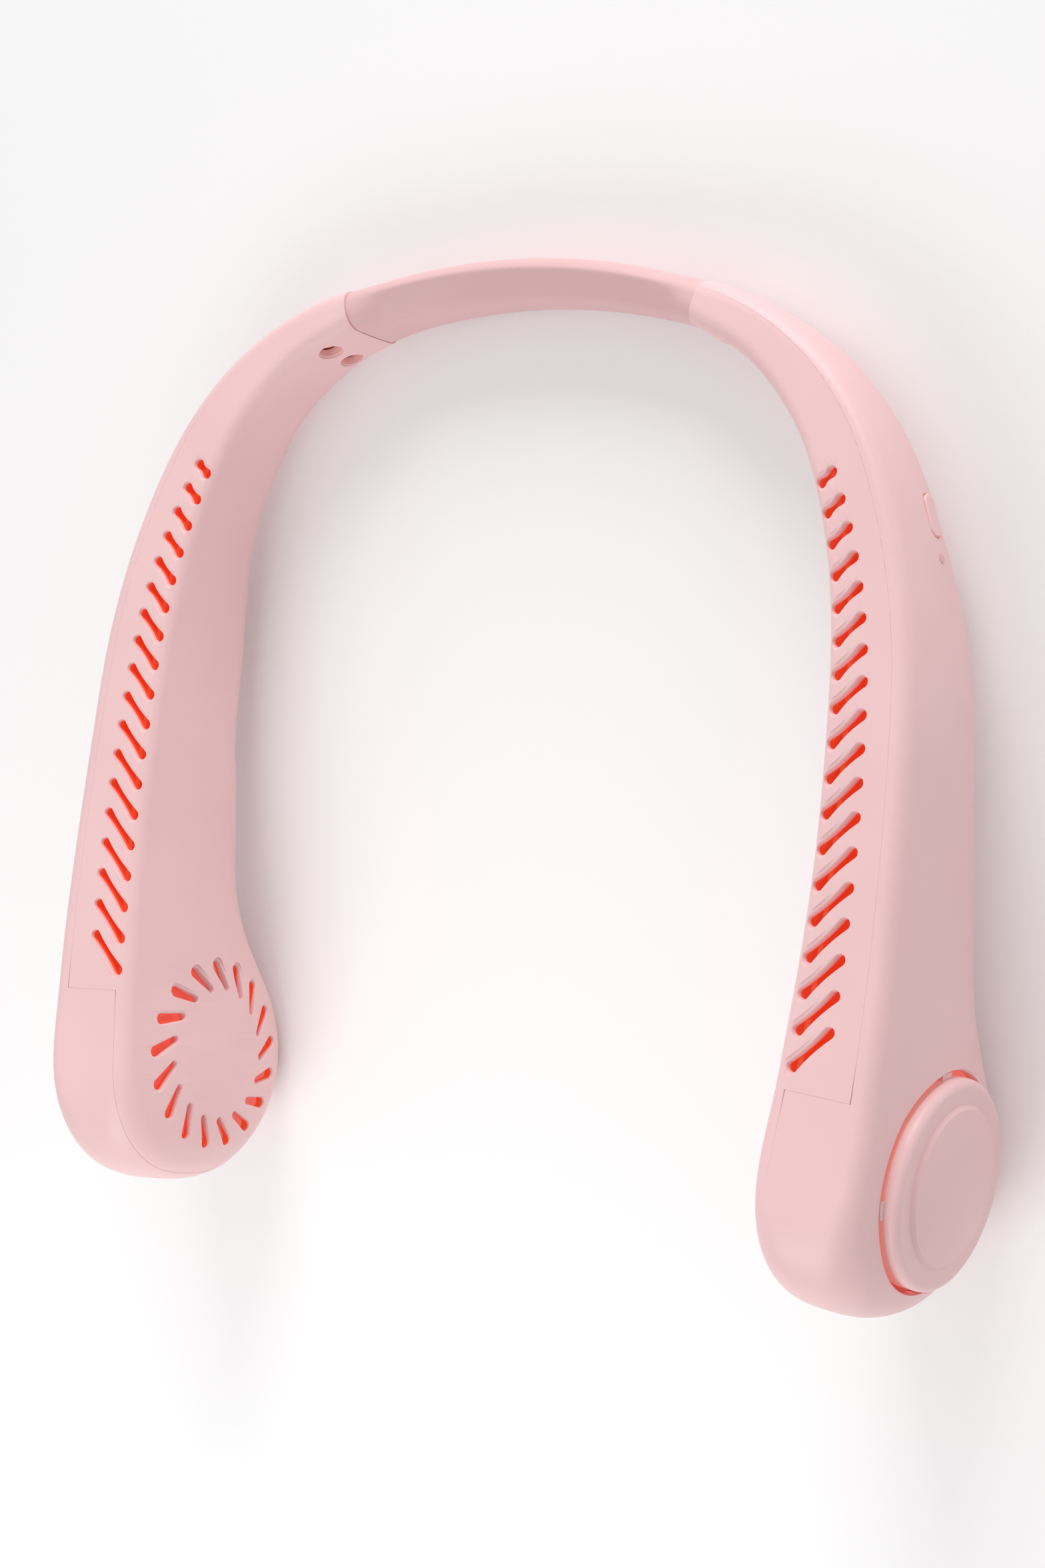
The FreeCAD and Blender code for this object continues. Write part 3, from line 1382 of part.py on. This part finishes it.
ONE_SIDED = ["neck_band", "neck_cable", "main_circuit_board", "tactile_switch", "power_button",
             "indicator_lens", "usb_socket"]
for name, thing in list(nodes.items()):
    if name not in ONE_SIDED:
        twin = doc.addObject("Part::Mirroring", thing.Name + "Left")
        twin.Source = outer_blank if name == "right_outer_shell" else thing
        twin.Normal = ACROSS
        node(name.replace("right_", "left_"), twin)
doc.recompute()


# Hand-in: every object has to be sound before any file is written

for thing in doc.Objects:
    faults = [state for state in thing.State if state in ("Invalid", "Error")]
    if faults:
        raise RuntimeError(f"{thing.Label} is {faults}")
for name, thing in nodes.items():
    if thing.Shape.isNull() or not thing.Shape.isValid():
        raise RuntimeError(f"{name} has no sound shape")
os.makedirs("parts", exist_ok=True)
for name, thing in nodes.items():
    thing.Shape.exportStep(os.path.join("parts", name + ".step"))
print(len(nodes), "nodes; tilt of the rest pose", round(REST.Rotation.Angle * 180 / math.pi, 2))
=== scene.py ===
import bpy
import json
import math
from mathutils import Matrix, Vector
from mathutils.bvhtree import BVHTree

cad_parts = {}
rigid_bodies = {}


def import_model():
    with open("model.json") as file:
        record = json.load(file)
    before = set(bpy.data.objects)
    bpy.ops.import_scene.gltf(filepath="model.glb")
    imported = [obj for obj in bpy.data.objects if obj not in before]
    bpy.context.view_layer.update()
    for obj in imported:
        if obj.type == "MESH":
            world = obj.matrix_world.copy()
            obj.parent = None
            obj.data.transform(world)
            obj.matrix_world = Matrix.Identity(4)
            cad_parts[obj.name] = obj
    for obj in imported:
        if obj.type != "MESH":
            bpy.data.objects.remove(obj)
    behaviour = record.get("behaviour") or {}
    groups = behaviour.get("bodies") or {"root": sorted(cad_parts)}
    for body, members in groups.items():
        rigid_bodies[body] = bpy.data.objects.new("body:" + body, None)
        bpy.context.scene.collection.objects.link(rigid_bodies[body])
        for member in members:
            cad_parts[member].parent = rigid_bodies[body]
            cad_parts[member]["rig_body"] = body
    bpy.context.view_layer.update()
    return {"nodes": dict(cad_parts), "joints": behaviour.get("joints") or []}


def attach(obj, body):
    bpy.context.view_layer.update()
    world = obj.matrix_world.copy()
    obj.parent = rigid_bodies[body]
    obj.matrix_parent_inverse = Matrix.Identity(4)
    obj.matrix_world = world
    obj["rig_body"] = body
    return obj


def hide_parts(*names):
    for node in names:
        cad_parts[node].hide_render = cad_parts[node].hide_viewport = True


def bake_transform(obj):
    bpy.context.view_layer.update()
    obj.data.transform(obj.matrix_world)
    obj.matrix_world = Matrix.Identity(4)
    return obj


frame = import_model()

MM = 0.001

# The arms' own frame: X to the right head, Y to the band, Z out of the slotted faces
joints = {joint["name"]: joint for joint in frame["joints"]}
band_middle = Vector(joints["neck_flex"]["pos_m"])
arm_up = Vector(joints["neck_flex"]["axis"])
across = Vector((1, 0, 0))
arm_back = arm_up.cross(across)

# The fans' axes: the middle of each fan and the way out through its cap
fan_axes = {}
for side in ("left", "right"):
    fan_middle = Vector(joints[f"{side}_fan_spin"]["pos_m"])
    fan_axis = Vector(joints[f"{side}_fan_spin"]["axis"])
    outwards = fan_axis if fan_axis.x * fan_middle.x > 0 else -fan_axis
    fan_axes[side] = fan_middle, outwards

# Sizes of the soft band and its cable, as in the part's source
band_bend_radius = 143 * MM
band_half_span = 40 * MM
band_thickness = 7 * MM
band_height = 16.4 * MM
band_bulge = 0.3 * MM
band_crease = 3.3 * MM
tongue_step = 2 * MM
tongue_length = 14 * MM
shoulder_radius = 54.79 * MM
cable_radius = 0.9 * MM
cable_length_in_arm = 18 * MM
cable_core_step = 0.35 * MM

# Finer forms that the band has only here
seam_gap = 0.02 * MM
seam_swell = 0.25 * MM
band_end_round = 0.15 * MM
press_lean = math.radians(40)
press_level = 5.0 * MM
press_round = 0.5 * MM
press_ease = 9 * MM

# How finely the band and its cable are divided
bend_steps = 64
crease_steps = 16
side_cuts = 7
end_round_steps = 4
tongue_steps = 10
cable_sides = 20
cable_steps = 14

# Painted coral in the slit, standing in for the light inside: up to a level along the fan's axis,
# on the skirt and not on the tabs round it
slit_level = 11.8 * MM
skirt_radius = 19.2 * MM

# Bare walls above the painted coral: down from the slotted face, and in from the face round the
# fan's axis
slot_lips = {"left": 0.8 * MM, "right": 1.5 * MM}
vent_lip = 2.4 * MM
vent_reach = 18 * MM

# Inner faces painted coral: they see another face of their side between two distances and end
# before the seam
coral_paint_near = 1.15 * MM
coral_paint_far = 60 * MM
coral_paint_end = 64 * MM

# How far off a face a ray starts, to look straight out or to look past the rim of an opening
ray_lift = 0.02 * MM
open_lift = 0.25 * MM

# The parting gap of the shells, and the line it is drawn to
parting_gap = 0.3 * MM
parting_line = 0.025 * MM

# Welding and shading: creases sharper than these angles stay
weld_distance = 0.002 * MM
moulding_crease = math.radians(32)
soft_crease = math.radians(50)


# Helpers

def only(thing):
    """Select one object and make it the active one."""
    bpy.ops.object.select_all(action="DESELECT")
    thing.select_set(True)
    bpy.context.view_layer.objects.active = thing


def edit(thing):
    """Go into edit mode on one object with nothing selected."""
    only(thing)
    bpy.ops.object.mode_set(mode="EDIT")
    bpy.ops.mesh.select_all(action="DESELECT")


def leave():
    """Go back to object mode."""
    bpy.ops.object.mode_set(mode="OBJECT")


def pick_faces(thing, is_picked):
    """Go into edit mode with only the faces selected that pass a test."""
    edit(thing)
    bpy.ops.mesh.select_mode(type="FACE")
    bpy.ops.mesh.select_all(action="DESELECT")
    leave()
    for polygon in thing.data.polygons:
        polygon.select = is_picked(polygon)
    bpy.ops.object.mode_set(mode="EDIT")


def smooth(thing, crease):
    """Shade the curved faces of a piece smooth and keep its creases."""
    only(thing)
    bpy.ops.object.shade_smooth_by_angle(angle=crease)
    weigh = thing.modifiers.new("even_light", "WEIGHTED_NORMAL")
    weigh.keep_sharp = True
    bpy.ops.object.modifier_apply(modifier=weigh.name)


def moulding(node, name):
    """A welded copy of a CAD node, shaded smooth over its curved faces, in the node's place."""
    source = frame["nodes"][node]
    piece = bpy.data.objects.new(name, source.data.copy())
    bpy.context.scene.collection.objects.link(piece)
    edit(piece)
    bpy.ops.mesh.select_all(action="SELECT")
    bpy.ops.mesh.remove_doubles(threshold=weld_distance)
    bpy.ops.mesh.customdata_custom_splitnormals_clear()
    leave()
    smooth(piece, moulding_crease)
    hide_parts(node)
    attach(piece, source["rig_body"])
    return piece


def paint(thing, *materials):
    """Give an object these materials and no others."""
    thing.data.materials.clear()
    for material in materials:
        thing.data.materials.append(material)


# Materials

SHADE_SCALE, SHADE_DETAIL = 35, 2
SHEEN_SCALE, SHEEN_DETAIL = 120, 3
METAL_SCALE, METAL_DETAIL = 400, 3
GRAIN_DETAIL = 2
GRAIN_STRENGTH = 0.25
RAMP_LOW, RAMP_HIGH = 0.3, 0.7
METAL_SHEEN_LOW, METAL_SHEEN_HIGH = 0.8, 1.2


def finish(name, colour, roughness):
    """A plain shader to build a finish on: the material, its nodes, its links and its shader."""
    material = bpy.data.materials.new(name)
    material.use_nodes = True
    nodes = material.node_tree.nodes
    links = material.node_tree.links
    shader = nodes["Principled BSDF"]
    shader.inputs["Base Color"].default_value = (*colour, 1)
    shader.inputs["Roughness"].default_value = roughness
    return material, nodes, links, shader


def mottle(nodes, links, scale, detail, stretch=None):
    """Noise that sits still on the piece, drawn out along its axes where a stretch is given."""
    place = nodes.new("ShaderNodeTexCoord").outputs["Object"]
    noise = nodes.new("ShaderNodeTexNoise")
    noise.inputs["Scale"].default_value = scale
    noise.inputs["Detail"].default_value = detail
    if stretch is not None:
        mapping = nodes.new("ShaderNodeMapping")
        mapping.inputs["Scale"].default_value = stretch
        links.new(place, mapping.inputs["Vector"])
        place = mapping.outputs["Vector"]
    links.new(place, noise.inputs["Vector"])
    return noise


def tint(nodes, links, shader, noise, low, high):
    """Let noise move the colour between two near shades."""
    ramp = nodes.new("ShaderNodeValToRGB")
    ramp.color_ramp.elements[0].position = RAMP_LOW
    ramp.color_ramp.elements[1].position = RAMP_HIGH
    ramp.color_ramp.elements[0].color = (*low, 1)
    ramp.color_ramp.elements[1].color = (*high, 1)
    links.new(noise.outputs["Fac"], ramp.inputs["Fac"])
    links.new(ramp.outputs["Color"], shader.inputs["Base Color"])


def grain(nodes, links, shader, noise, depth):
    """Let noise raise a fine grain."""
    bump = nodes.new("ShaderNodeBump")
    bump.inputs["Distance"].default_value = depth
    bump.inputs["Strength"].default_value = GRAIN_STRENGTH
    links.new(noise.outputs["Fac"], bump.inputs["Height"])
    links.new(bump.outputs["Normal"], shader.inputs["Normal"])


def sheen_range(nodes, links, shader, noise, low, high):
    """Let noise move the roughness a little, as handled plastic has it."""
    span = nodes.new("ShaderNodeMapRange")
    span.inputs["To Min"].default_value = low
    span.inputs["To Max"].default_value = high
    links.new(noise.outputs["Fac"], span.inputs["Value"])
    links.new(span.outputs["Result"], shader.inputs["Roughness"])


def moulded(name, shades, roughness, grain_scale, grain_depth):
    """Satin moulded plastic: a fine spark-eroded grain and a soft change of shade."""
    low, high = shades
    rough_low, rough_high = roughness
    material, nodes, links, shader = finish(name, high, rough_high)
    shade_noise = mottle(nodes, links, SHADE_SCALE, SHADE_DETAIL)
    tint(nodes, links, shader, shade_noise, low, high)
    sheen_noise = mottle(nodes, links, SHEEN_SCALE, SHEEN_DETAIL)
    sheen_range(nodes, links, shader, sheen_noise, rough_low, rough_high)
    grain_noise = mottle(nodes, links, grain_scale, GRAIN_DETAIL)
    grain(nodes, links, shader, grain_noise, grain_depth)
    return material


def metal(name, shades, roughness, stretch):
    """Metal with a fine unevenness, which a stretch draws out to lines along one axis."""
    low, high = shades
    material, nodes, links, shader = finish(name, high, roughness)
    shader.inputs["Metallic"].default_value = 1
    noise = mottle(nodes, links, METAL_SCALE, METAL_DETAIL, stretch)
    tint(nodes, links, shader, noise, low, high)
    rough_low = roughness * METAL_SHEEN_LOW
    rough_high = roughness * METAL_SHEEN_HIGH
    sheen_range(nodes, links, shader, noise, rough_low, rough_high)
    return material


def glow(material, colour, strength):
    """Painted light: an emission of the material's own that brightens it where the lamps leave it
    dark, in slots, vents, the slit and the screw wells.
    """
    shader = material.node_tree.nodes["Principled BSDF"]
    shader.inputs["Emission Color"].default_value = (*colour, 1)
    shader.inputs["Emission Strength"].default_value = strength


# Shades, each from low to high
BLUSH = (0.83, 0.54, 0.545), (0.86, 0.57, 0.575)
# The band's shades are darker and greyer than the shells': the soft band's pink with painted shade
# on it
BAND_BLUSH_AND_SHADE = (0.72, 0.45, 0.455), (0.75, 0.475, 0.48)
CORAL = (0.78, 0.09, 0.03), (0.83, 0.115, 0.04)
PALE_CORAL = (0.72, 0.25, 0.20), (0.76, 0.28, 0.23)
FROSTED_CORAL = (0.70, 0.40, 0.38), (0.74, 0.44, 0.42)
MASK_GREEN = (0.02, 0.12, 0.05), (0.03, 0.16, 0.07)
INK = (0.012, 0.012, 0.014), (0.02, 0.02, 0.022)
FERRITE = (0.03, 0.03, 0.032), (0.05, 0.05, 0.053)
LAMINATION = (0.07, 0.075, 0.08), (0.1, 0.105, 0.11)
FOIL = (0.55, 0.56, 0.58), (0.65, 0.66, 0.68)
STEEL = (0.55, 0.55, 0.57), (0.65, 0.65, 0.67)
ZINC = (0.90, 0.53, 0.36), (0.96, 0.60, 0.42)
CAST_METAL = (0.50, 0.50, 0.52), (0.58, 0.58, 0.60)
BRONZE = (0.42, 0.28, 0.11), (0.50, 0.34, 0.15)
COPPER = (0.45, 0.16, 0.06), (0.55, 0.21, 0.09)

# Moulded finishes: shades, roughness from and to, scale and depth of the grain
MOULDED_FINISHES = {
    "blush_satin_shell": (BLUSH, (0.40, 0.48), 2600, 0.03 * MM),
    "blush_satin_cap": (BLUSH, (0.38, 0.46), 2600, 0.03 * MM),
    "blush_soft_band": (BAND_BLUSH_AND_SHADE, (0.46, 0.54), 1900, 0.02 * MM),
    "blush_satin_key": (BLUSH, (0.42, 0.5), 2600, 0.02 * MM),
    "coral_duct": (CORAL, (0.45, 0.55), 1500, 0.03 * MM),
    "coral_impeller": (CORAL, (0.4, 0.5), 1500, 0.03 * MM),
    "coral_lining": (CORAL, (0.5, 0.6), 1500, 0.03 * MM),
    "coral_slit": (PALE_CORAL, (0.5, 0.6), 1500, 0.03 * MM),
    "frosted_lamp_window": (FROSTED_CORAL, (0.25, 0.32), 1500, 0.01 * MM),
    "green_solder_mask": (MASK_GREEN, (0.3, 0.4), 900, 0.02 * MM),
    "black_switch_case": (INK, (0.35, 0.45), 1500, 0.02 * MM),
    "black_cable_sleeve": (INK, (0.45, 0.55), 1500, 0.02 * MM),
    "dark_ferrite": (FERRITE, (0.55, 0.65), 1200, 0.03 * MM),
    "coated_laminations": (LAMINATION, (0.4, 0.5), 1200, 0.02 * MM),
}

# Metal finishes: shades, roughness, stretch of the unevenness
METAL_FINISHES = {
    "cell_foil": (FOIL, 0.35, (1, 1, 1)),
    "ground_steel": (STEEL, 0.25, (0.1, 1, 1)),
    "yellow_zinc_screw": (ZINC, 0.4, (1, 1, 0.2)),
    "cast_motor_base": (CAST_METAL, 0.4, (1, 1, 1)),
    "sintered_bronze": (BRONZE, 0.4, (1, 1, 1)),
    "enamelled_copper": (COPPER, 0.35, (0.2, 1, 1)),
}

# Painted glow: colour and strength of the emission that brightens the coral insides and the screws
# in their wells
GLOWS = {
    "coral_duct": ((0.80, 0.09, 0.03), 0.25),
    "coral_impeller": ((0.72, 0.22, 0.165), 0.34),
    "coral_lining": ((0.80, 0.09, 0.03), 0.26),
    "coral_slit": ((0.74, 0.32, 0.28), 0.34),
    "yellow_zinc_screw": ((0.80, 0.36, 0.22), 0.3),
}

finishes = {}
for name, settings in MOULDED_FINISHES.items():
    finishes[name] = moulded(name, *settings)
for name, settings in METAL_FINISHES.items():
    finishes[name] = metal(name, *settings)
for name, settings in GLOWS.items():
    glow(finishes[name], *settings)

# What each kind of node is made of, on either side
NODE_FINISH = {
    "inner_shell": "blush_satin_shell",
    "outer_shell": "blush_satin_shell",
    "intake_cap": "blush_satin_cap",
    "air_duct": "coral_duct",
    "impeller": "coral_impeller",
    "motor_shaft": "ground_steel",
    "magnet_ring": "dark_ferrite",
    "rotor_yoke": "ground_steel",
    "stator_core": "coated_laminations",
    "stator_windings": "enamelled_copper",
    "motor_base": "cast_motor_base",
    "shaft_bearing": "sintered_bronze",
    "battery_cell": "cell_foil",
    "band_screws": "yellow_zinc_screw",
    "neck_band": "blush_soft_band",
    "neck_cable": "black_cable_sleeve",
    "main_circuit_board": "green_solder_mask",
    "tactile_switch": "black_switch_case",
    "power_button": "blush_satin_key",
    "indicator_lens": "frosted_lamp_window",
    "usb_socket": "ground_steel",
}
for node, thing in frame["nodes"].items():
    kind = node.replace("left_", "").replace("right_", "")
    paint(thing, finishes[NODE_FINISH[kind]])


# The shells, caps and key, shaded smooth, with painted coral and a painted glow inside that stand
# in for the orange light seen through the openings

BARE, PAINTED_CORAL, SLOT_WALL, VENT_WALL = range(4)
SHELL_PAINTED_CORAL = {
    "inner_shell": "coral_lining",
    "outer_shell": "coral_slit",
    "intake_cap": "coral_slit",
}


def level_and_radius(point, side):
    """How far out along the fan's axis a point lies, and how far off the axis."""
    middle, outwards = fan_axes[side]
    offset = point - middle
    level = offset.dot(outwards)
    return level, (offset - outwards * level).length


def sight_along(walls, start, way):
    """How far a ray goes until it meets a wall, or None."""
    return walls.ray_cast(start, way, coral_paint_far)[3]


def look_out(pieces):
    """All faces of some pieces as walls for rays, and how far each face sees until it meets one."""
    corners = []
    faces = []
    for piece in pieces:
        first = len(corners)
        corners += [vertex.co.copy() for vertex in piece.data.vertices]
        for polygon in piece.data.polygons:
            faces.append([first + index for index in polygon.vertices])
    walls = BVHTree.FromPolygons(corners, faces)
    sights = []
    for piece in pieces:
        sight = []
        for polygon in piece.data.polygons:
            start = polygon.center + polygon.normal * ray_lift
            sight.append(sight_along(walls, start, polygon.normal))
        sights.append(sight)
    return walls, sights


def close_parting(piece, sight):
    """Draw the two walls of the parting gap together to a fine line."""
    moves = {}
    for polygon, gap in zip(piece.data.polygons, sight):
        if gap is not None and parting_line < gap < parting_gap:
            for index in polygon.vertices:
                moves[index] = polygon.normal * ((gap + ray_lift - parting_line) / 2)
    for index, move in moves.items():
        piece.data.vertices[index].co += move


def paint_coral_inside(piece, sight):
    """Paint coral, as painted light, on every face that looks at another face of its side some way
    off.
    """
    for polygon, gap in zip(piece.data.polygons, sight):
        inside = gap is not None and gap > coral_paint_near and polygon.center.y < coral_paint_end
        polygon.material_index = PAINTED_CORAL if inside else BARE


def bare_lips(piece, walls, side):
    """Leave the upper walls of slots and vents bare, so that the painted coral starts below their
    rims.
    """
    outwards = fan_axes[side][1]
    corners = [vertex.co for vertex in piece.data.vertices]
    top = max(corners, key=arm_up.dot)
    by_the_fan = [corner for corner in corners if level_and_radius(corner, side)[1] < vent_reach]
    face = min(by_the_fan, key=outwards.dot)
    levels = {
        SLOT_WALL: (top - arm_up * slot_lips[side], arm_up),
        VENT_WALL: (face + outwards * vent_lip, -outwards),
    }
    for kind, (level, way) in levels.items():
        for polygon in piece.data.polygons:
            if polygon.material_index != PAINTED_CORAL:
                continue
            clear = polygon.center + polygon.normal * open_lift
            if sight_along(walls, clear, way) is None:
                polygon.material_index = kind
        pick_faces(piece, lambda polygon: polygon.material_index == kind)
        bpy.ops.mesh.bisect(plane_co=level, plane_no=way)
        leave()
        for polygon in piece.data.polygons:
            if polygon.material_index == kind:
                above = (polygon.center - level).dot(way) > 0
                polygon.material_index = BARE if above else PAINTED_CORAL


def paint_coral_in_slit(cap, side):
    """Paint pale coral, as painted light, on the foot of the cap's skirt, down in the slit, and
    leave its tabs bare.
    """
    middle, outwards = fan_axes[side]
    edit(cap)
    bpy.ops.mesh.select_all(action="SELECT")
    bpy.ops.mesh.bisect(plane_co=middle + outwards * slit_level, plane_no=outwards)
    leave()
    for polygon in cap.data.polygons:
        level, radius = level_and_radius(polygon.center, side)
        in_slit = level < slit_level and radius < skirt_radius
        polygon.material_index = PAINTED_CORAL if in_slit else BARE


for side in ("left", "right"):
    pieces = []
    for kind, coral_paint in SHELL_PAINTED_CORAL.items():
        piece = moulding(f"{side}_{kind}", f"{side}_{kind}_moulding")
        paint(piece, finishes[NODE_FINISH[kind]], finishes[coral_paint])
        pieces.append(piece)
    inner, outer, cap = pieces
    walls, sights = look_out(pieces)
    for piece, sight in zip((inner, outer), sights):
        paint_coral_inside(piece, sight)
        close_parting(piece, sight)
    bare_lips(inner, walls, side)
    paint_coral_in_slit(cap, side)
key = moulding("power_button", "power_key")
paint(key, finishes["blush_satin_key"])


# Soft band and its cable: outlines spun about the centre of the bend, then on into each shoulder

def to_row(across_by, back_by):
    """A point given in the plane of the arms from the band's middle."""
    return band_middle + across * across_by + arm_back * back_by


seam_turn = math.asin(band_half_span / band_bend_radius)
seam_drop = band_bend_radius * (1 - math.cos(seam_turn))
bend_centre = to_row(0, -band_bend_radius)
left_seam = to_row(-band_half_span, -seam_drop)
right_seam = to_row(band_half_span, -seam_drop)
LEFT, RIGHT = -1, 1


def turned_about(centre, angle):
    """A turn about an upright line in the arms' frame."""
    turn = Matrix.Rotation(angle, 4, arm_up)
    return Matrix.Translation(centre) @ turn @ Matrix.Translation(-centre)


def spin_about(centre, angle, steps):
    """Carry the selected face round an upright line in the arms' frame."""
    bpy.ops.mesh.spin(steps=steps, angle=angle, center=centre, axis=arm_up)


def spin_band(outline, name, short):
    """Spin a flat outline, drawn thickness by height, to a bar that stops short of the seams."""
    outline.name = name
    place = Matrix((arm_back, arm_up, across)).transposed().to_4x4()
    place.translation = band_middle
    turn = seam_turn - short / band_bend_radius
    outline.data.transform(turned_about(bend_centre, turn) @ place)
    edit(outline)
    bpy.ops.mesh.select_all(action="SELECT")
    spin_about(bend_centre, 2 * turn, bend_steps)
    bpy.ops.mesh.select_all(action="SELECT")
    bpy.ops.mesh.normals_make_consistent(inside=False)
    leave()


def eased(share):
    """A share from 0 to 1 that starts and ends slowly."""
    share = min(max(share, 0), 1)
    return share * share * (3 - 2 * share)


def shape_band(thing):
    """Press the band's inner upper corner to a slanting face and swell the band at the seams."""
    lean_in = math.sin(press_lean)
    lean_up = math.cos(press_lean)
    for vertex in thing.data.vertices:
        offset = vertex.co - bend_centre
        up_by = offset.dot(arm_up)
        spoke = offset - arm_up * up_by
        outwards = spoke.normalized()
        out_by = spoke.length - band_bend_radius
        to_seam = (seam_turn - abs(math.asin(outwards.dot(across)))) * band_bend_radius
        share = eased(to_seam / press_ease)
        over = up_by * lean_up - out_by * lean_in - press_level
        if over > 0:
            drop = over - press_round * (1 - math.exp(-over / press_round))
            vertex.co += (outwards * lean_in - arm_up * lean_up) * drop * share
        swell = seam_swell * (1 - share)
        spread = outwards * (2 * out_by / band_thickness) + arm_up * (2 * up_by / band_height)
        vertex.co += spread * swell


def pick_end(thing, hand):
    """Go into edit mode with the left or right end of a bar selected."""
    many_sided = [polygon for polygon in thing.data.polygons if len(polygon.vertices) > 4]
    end = max(many_sided, key=lambda polygon: polygon.center.x * hand).index
    pick_faces(thing, lambda polygon: polygon.index == end)


def spin_into_arm(hand, length, steps):
    """Carry the selected end on along the left or right shoulder."""
    seam = right_seam if hand == RIGHT else left_seam
    centre = seam + (bend_centre - seam).normalized() * shoulder_radius
    spin_about(centre, hand * length / shoulder_radius, steps)


def round_end(radius, steps):
    """Round the edge of the selected end."""
    for step in range(steps):
        low = math.pi / 2 * step / steps
        high = math.pi / 2 * (step + 1) / steps
        in_by = radius * (math.cos(low) - math.cos(high))
        out_by = radius * (math.sin(high) - math.sin(low))
        bpy.ops.mesh.inset(thickness=in_by, depth=out_by)


def band_outline():
    """A rounded oblong with bowed sides."""
    bpy.ops.object.select_all(action="DESELECT")
    bpy.ops.mesh.primitive_plane_add(size=1)
    oblong = bpy.context.object
    edit(oblong)
    bpy.ops.mesh.select_all(action="SELECT")
    bpy.ops.transform.resize(value=(band_thickness, band_height, 1))
    bpy.ops.mesh.bevel(offset=band_crease, segments=crease_steps, affect="VERTICES")
    bpy.ops.mesh.select_all(action="DESELECT")
    leave()
    for edge in oblong.data.edges:
        start, end = [oblong.data.vertices[index].co for index in edge.vertices]
        edge.select = abs(start.y - end.y) > band_height / 3
    bpy.ops.object.mode_set(mode="EDIT")
    bpy.ops.mesh.select_mode(type="EDGE")
    bpy.ops.mesh.subdivide(number_cuts=side_cuts)
    leave()
    for vertex in oblong.data.vertices:
        share = 1 - (2 * vertex.co.y / band_height) ** 2
        vertex.co.x += math.copysign(band_bulge * share, vertex.co.x)
    return oblong


strap = band_outline()
spin_band(strap, "soft_neck_band", seam_gap + band_end_round)
shape_band(strap)
for hand in (LEFT, RIGHT):
    pick_end(strap, hand)
    round_end(band_end_round, end_round_steps)
    bpy.ops.mesh.inset(thickness=tongue_step - band_end_round)
    spin_into_arm(hand, tongue_length, tongue_steps)
    leave()
paint(strap, finishes["blush_soft_band"])
smooth(strap, soft_crease)
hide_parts("neck_band")
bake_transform(strap)

bpy.ops.object.select_all(action="DESELECT")
bpy.ops.mesh.primitive_circle_add(vertices=cable_sides, radius=cable_radius, fill_type="NGON")
sleeve = bpy.context.object
spin_band(sleeve, "neck_cable_sleeve", 0)
for hand in (LEFT, RIGHT):
    pick_end(sleeve, hand)
    spin_into_arm(hand, cable_length_in_arm, cable_steps)
    bpy.ops.mesh.inset(thickness=cable_core_step, depth=cable_core_step)
    leave()
paint(sleeve, finishes["black_cable_sleeve"])
smooth(sleeve, soft_crease)
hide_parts("neck_cable")
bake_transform(sleeve)


# Floor

floor_size = 6
floor_shade = (0.96, 0.96, 0.96)
floor_roughness = 0.8
bpy.ops.object.select_all(action="DESELECT")
bpy.ops.mesh.primitive_plane_add(size=floor_size)
floor = bpy.context.object
floor.name = "pale_floor"
paint(floor, finish("pale_floor_paper", floor_shade, floor_roughness)[0])


# Camera at the photograph's angle

camera_place = (0.3306, 0.0727, 0.4821)
camera_turn_degrees = (-8.304, 35.262, -0.76)
camera_lens = 68.88
camera_sensor = 36
camera_data = bpy.data.cameras.new("photo_camera")
camera_data.sensor_width = camera_sensor
camera_data.lens = camera_lens
camera = bpy.data.objects.new("photo_camera", camera_data)
camera.location = camera_place
camera.rotation_euler = [math.radians(angle) for angle in camera_turn_degrees]
bpy.context.scene.collection.objects.link(camera)
bpy.context.scene.camera = camera


# Soft studio light

world_colour = (1, 0.99, 0.99, 1)
world_strength = 0.6


def softbox(name, place, aim, size, power):
    """A square area light that looks at a point."""
    data = bpy.data.lights.new(name, "AREA")
    data.shape = "SQUARE"
    data.size = size
    data.energy = power
    lamp = bpy.data.objects.new(name, data)
    lamp.location = place
    lamp.rotation_euler = (Vector(aim) - Vector(place)).to_track_quat("-Z", "Y").to_euler()
    bpy.context.scene.collection.objects.link(lamp)


softbox("key_from_behind", place=(0.06, 1.1, 0.42), aim=(0, 0, 0.02), size=0.6, power=8.4)
softbox("front_fill", place=(-0.08, -0.36, 0.32), aim=(0, -0.1, 0.02), size=0.3, power=0.8)
world = bpy.data.worlds.new("studio")
world.use_nodes = True
background = world.node_tree.nodes["Background"]
background.inputs["Color"].default_value = world_colour
background.inputs["Strength"].default_value = world_strength
bpy.context.scene.world = world
bpy.context.scene.view_settings.view_transform = "Standard"
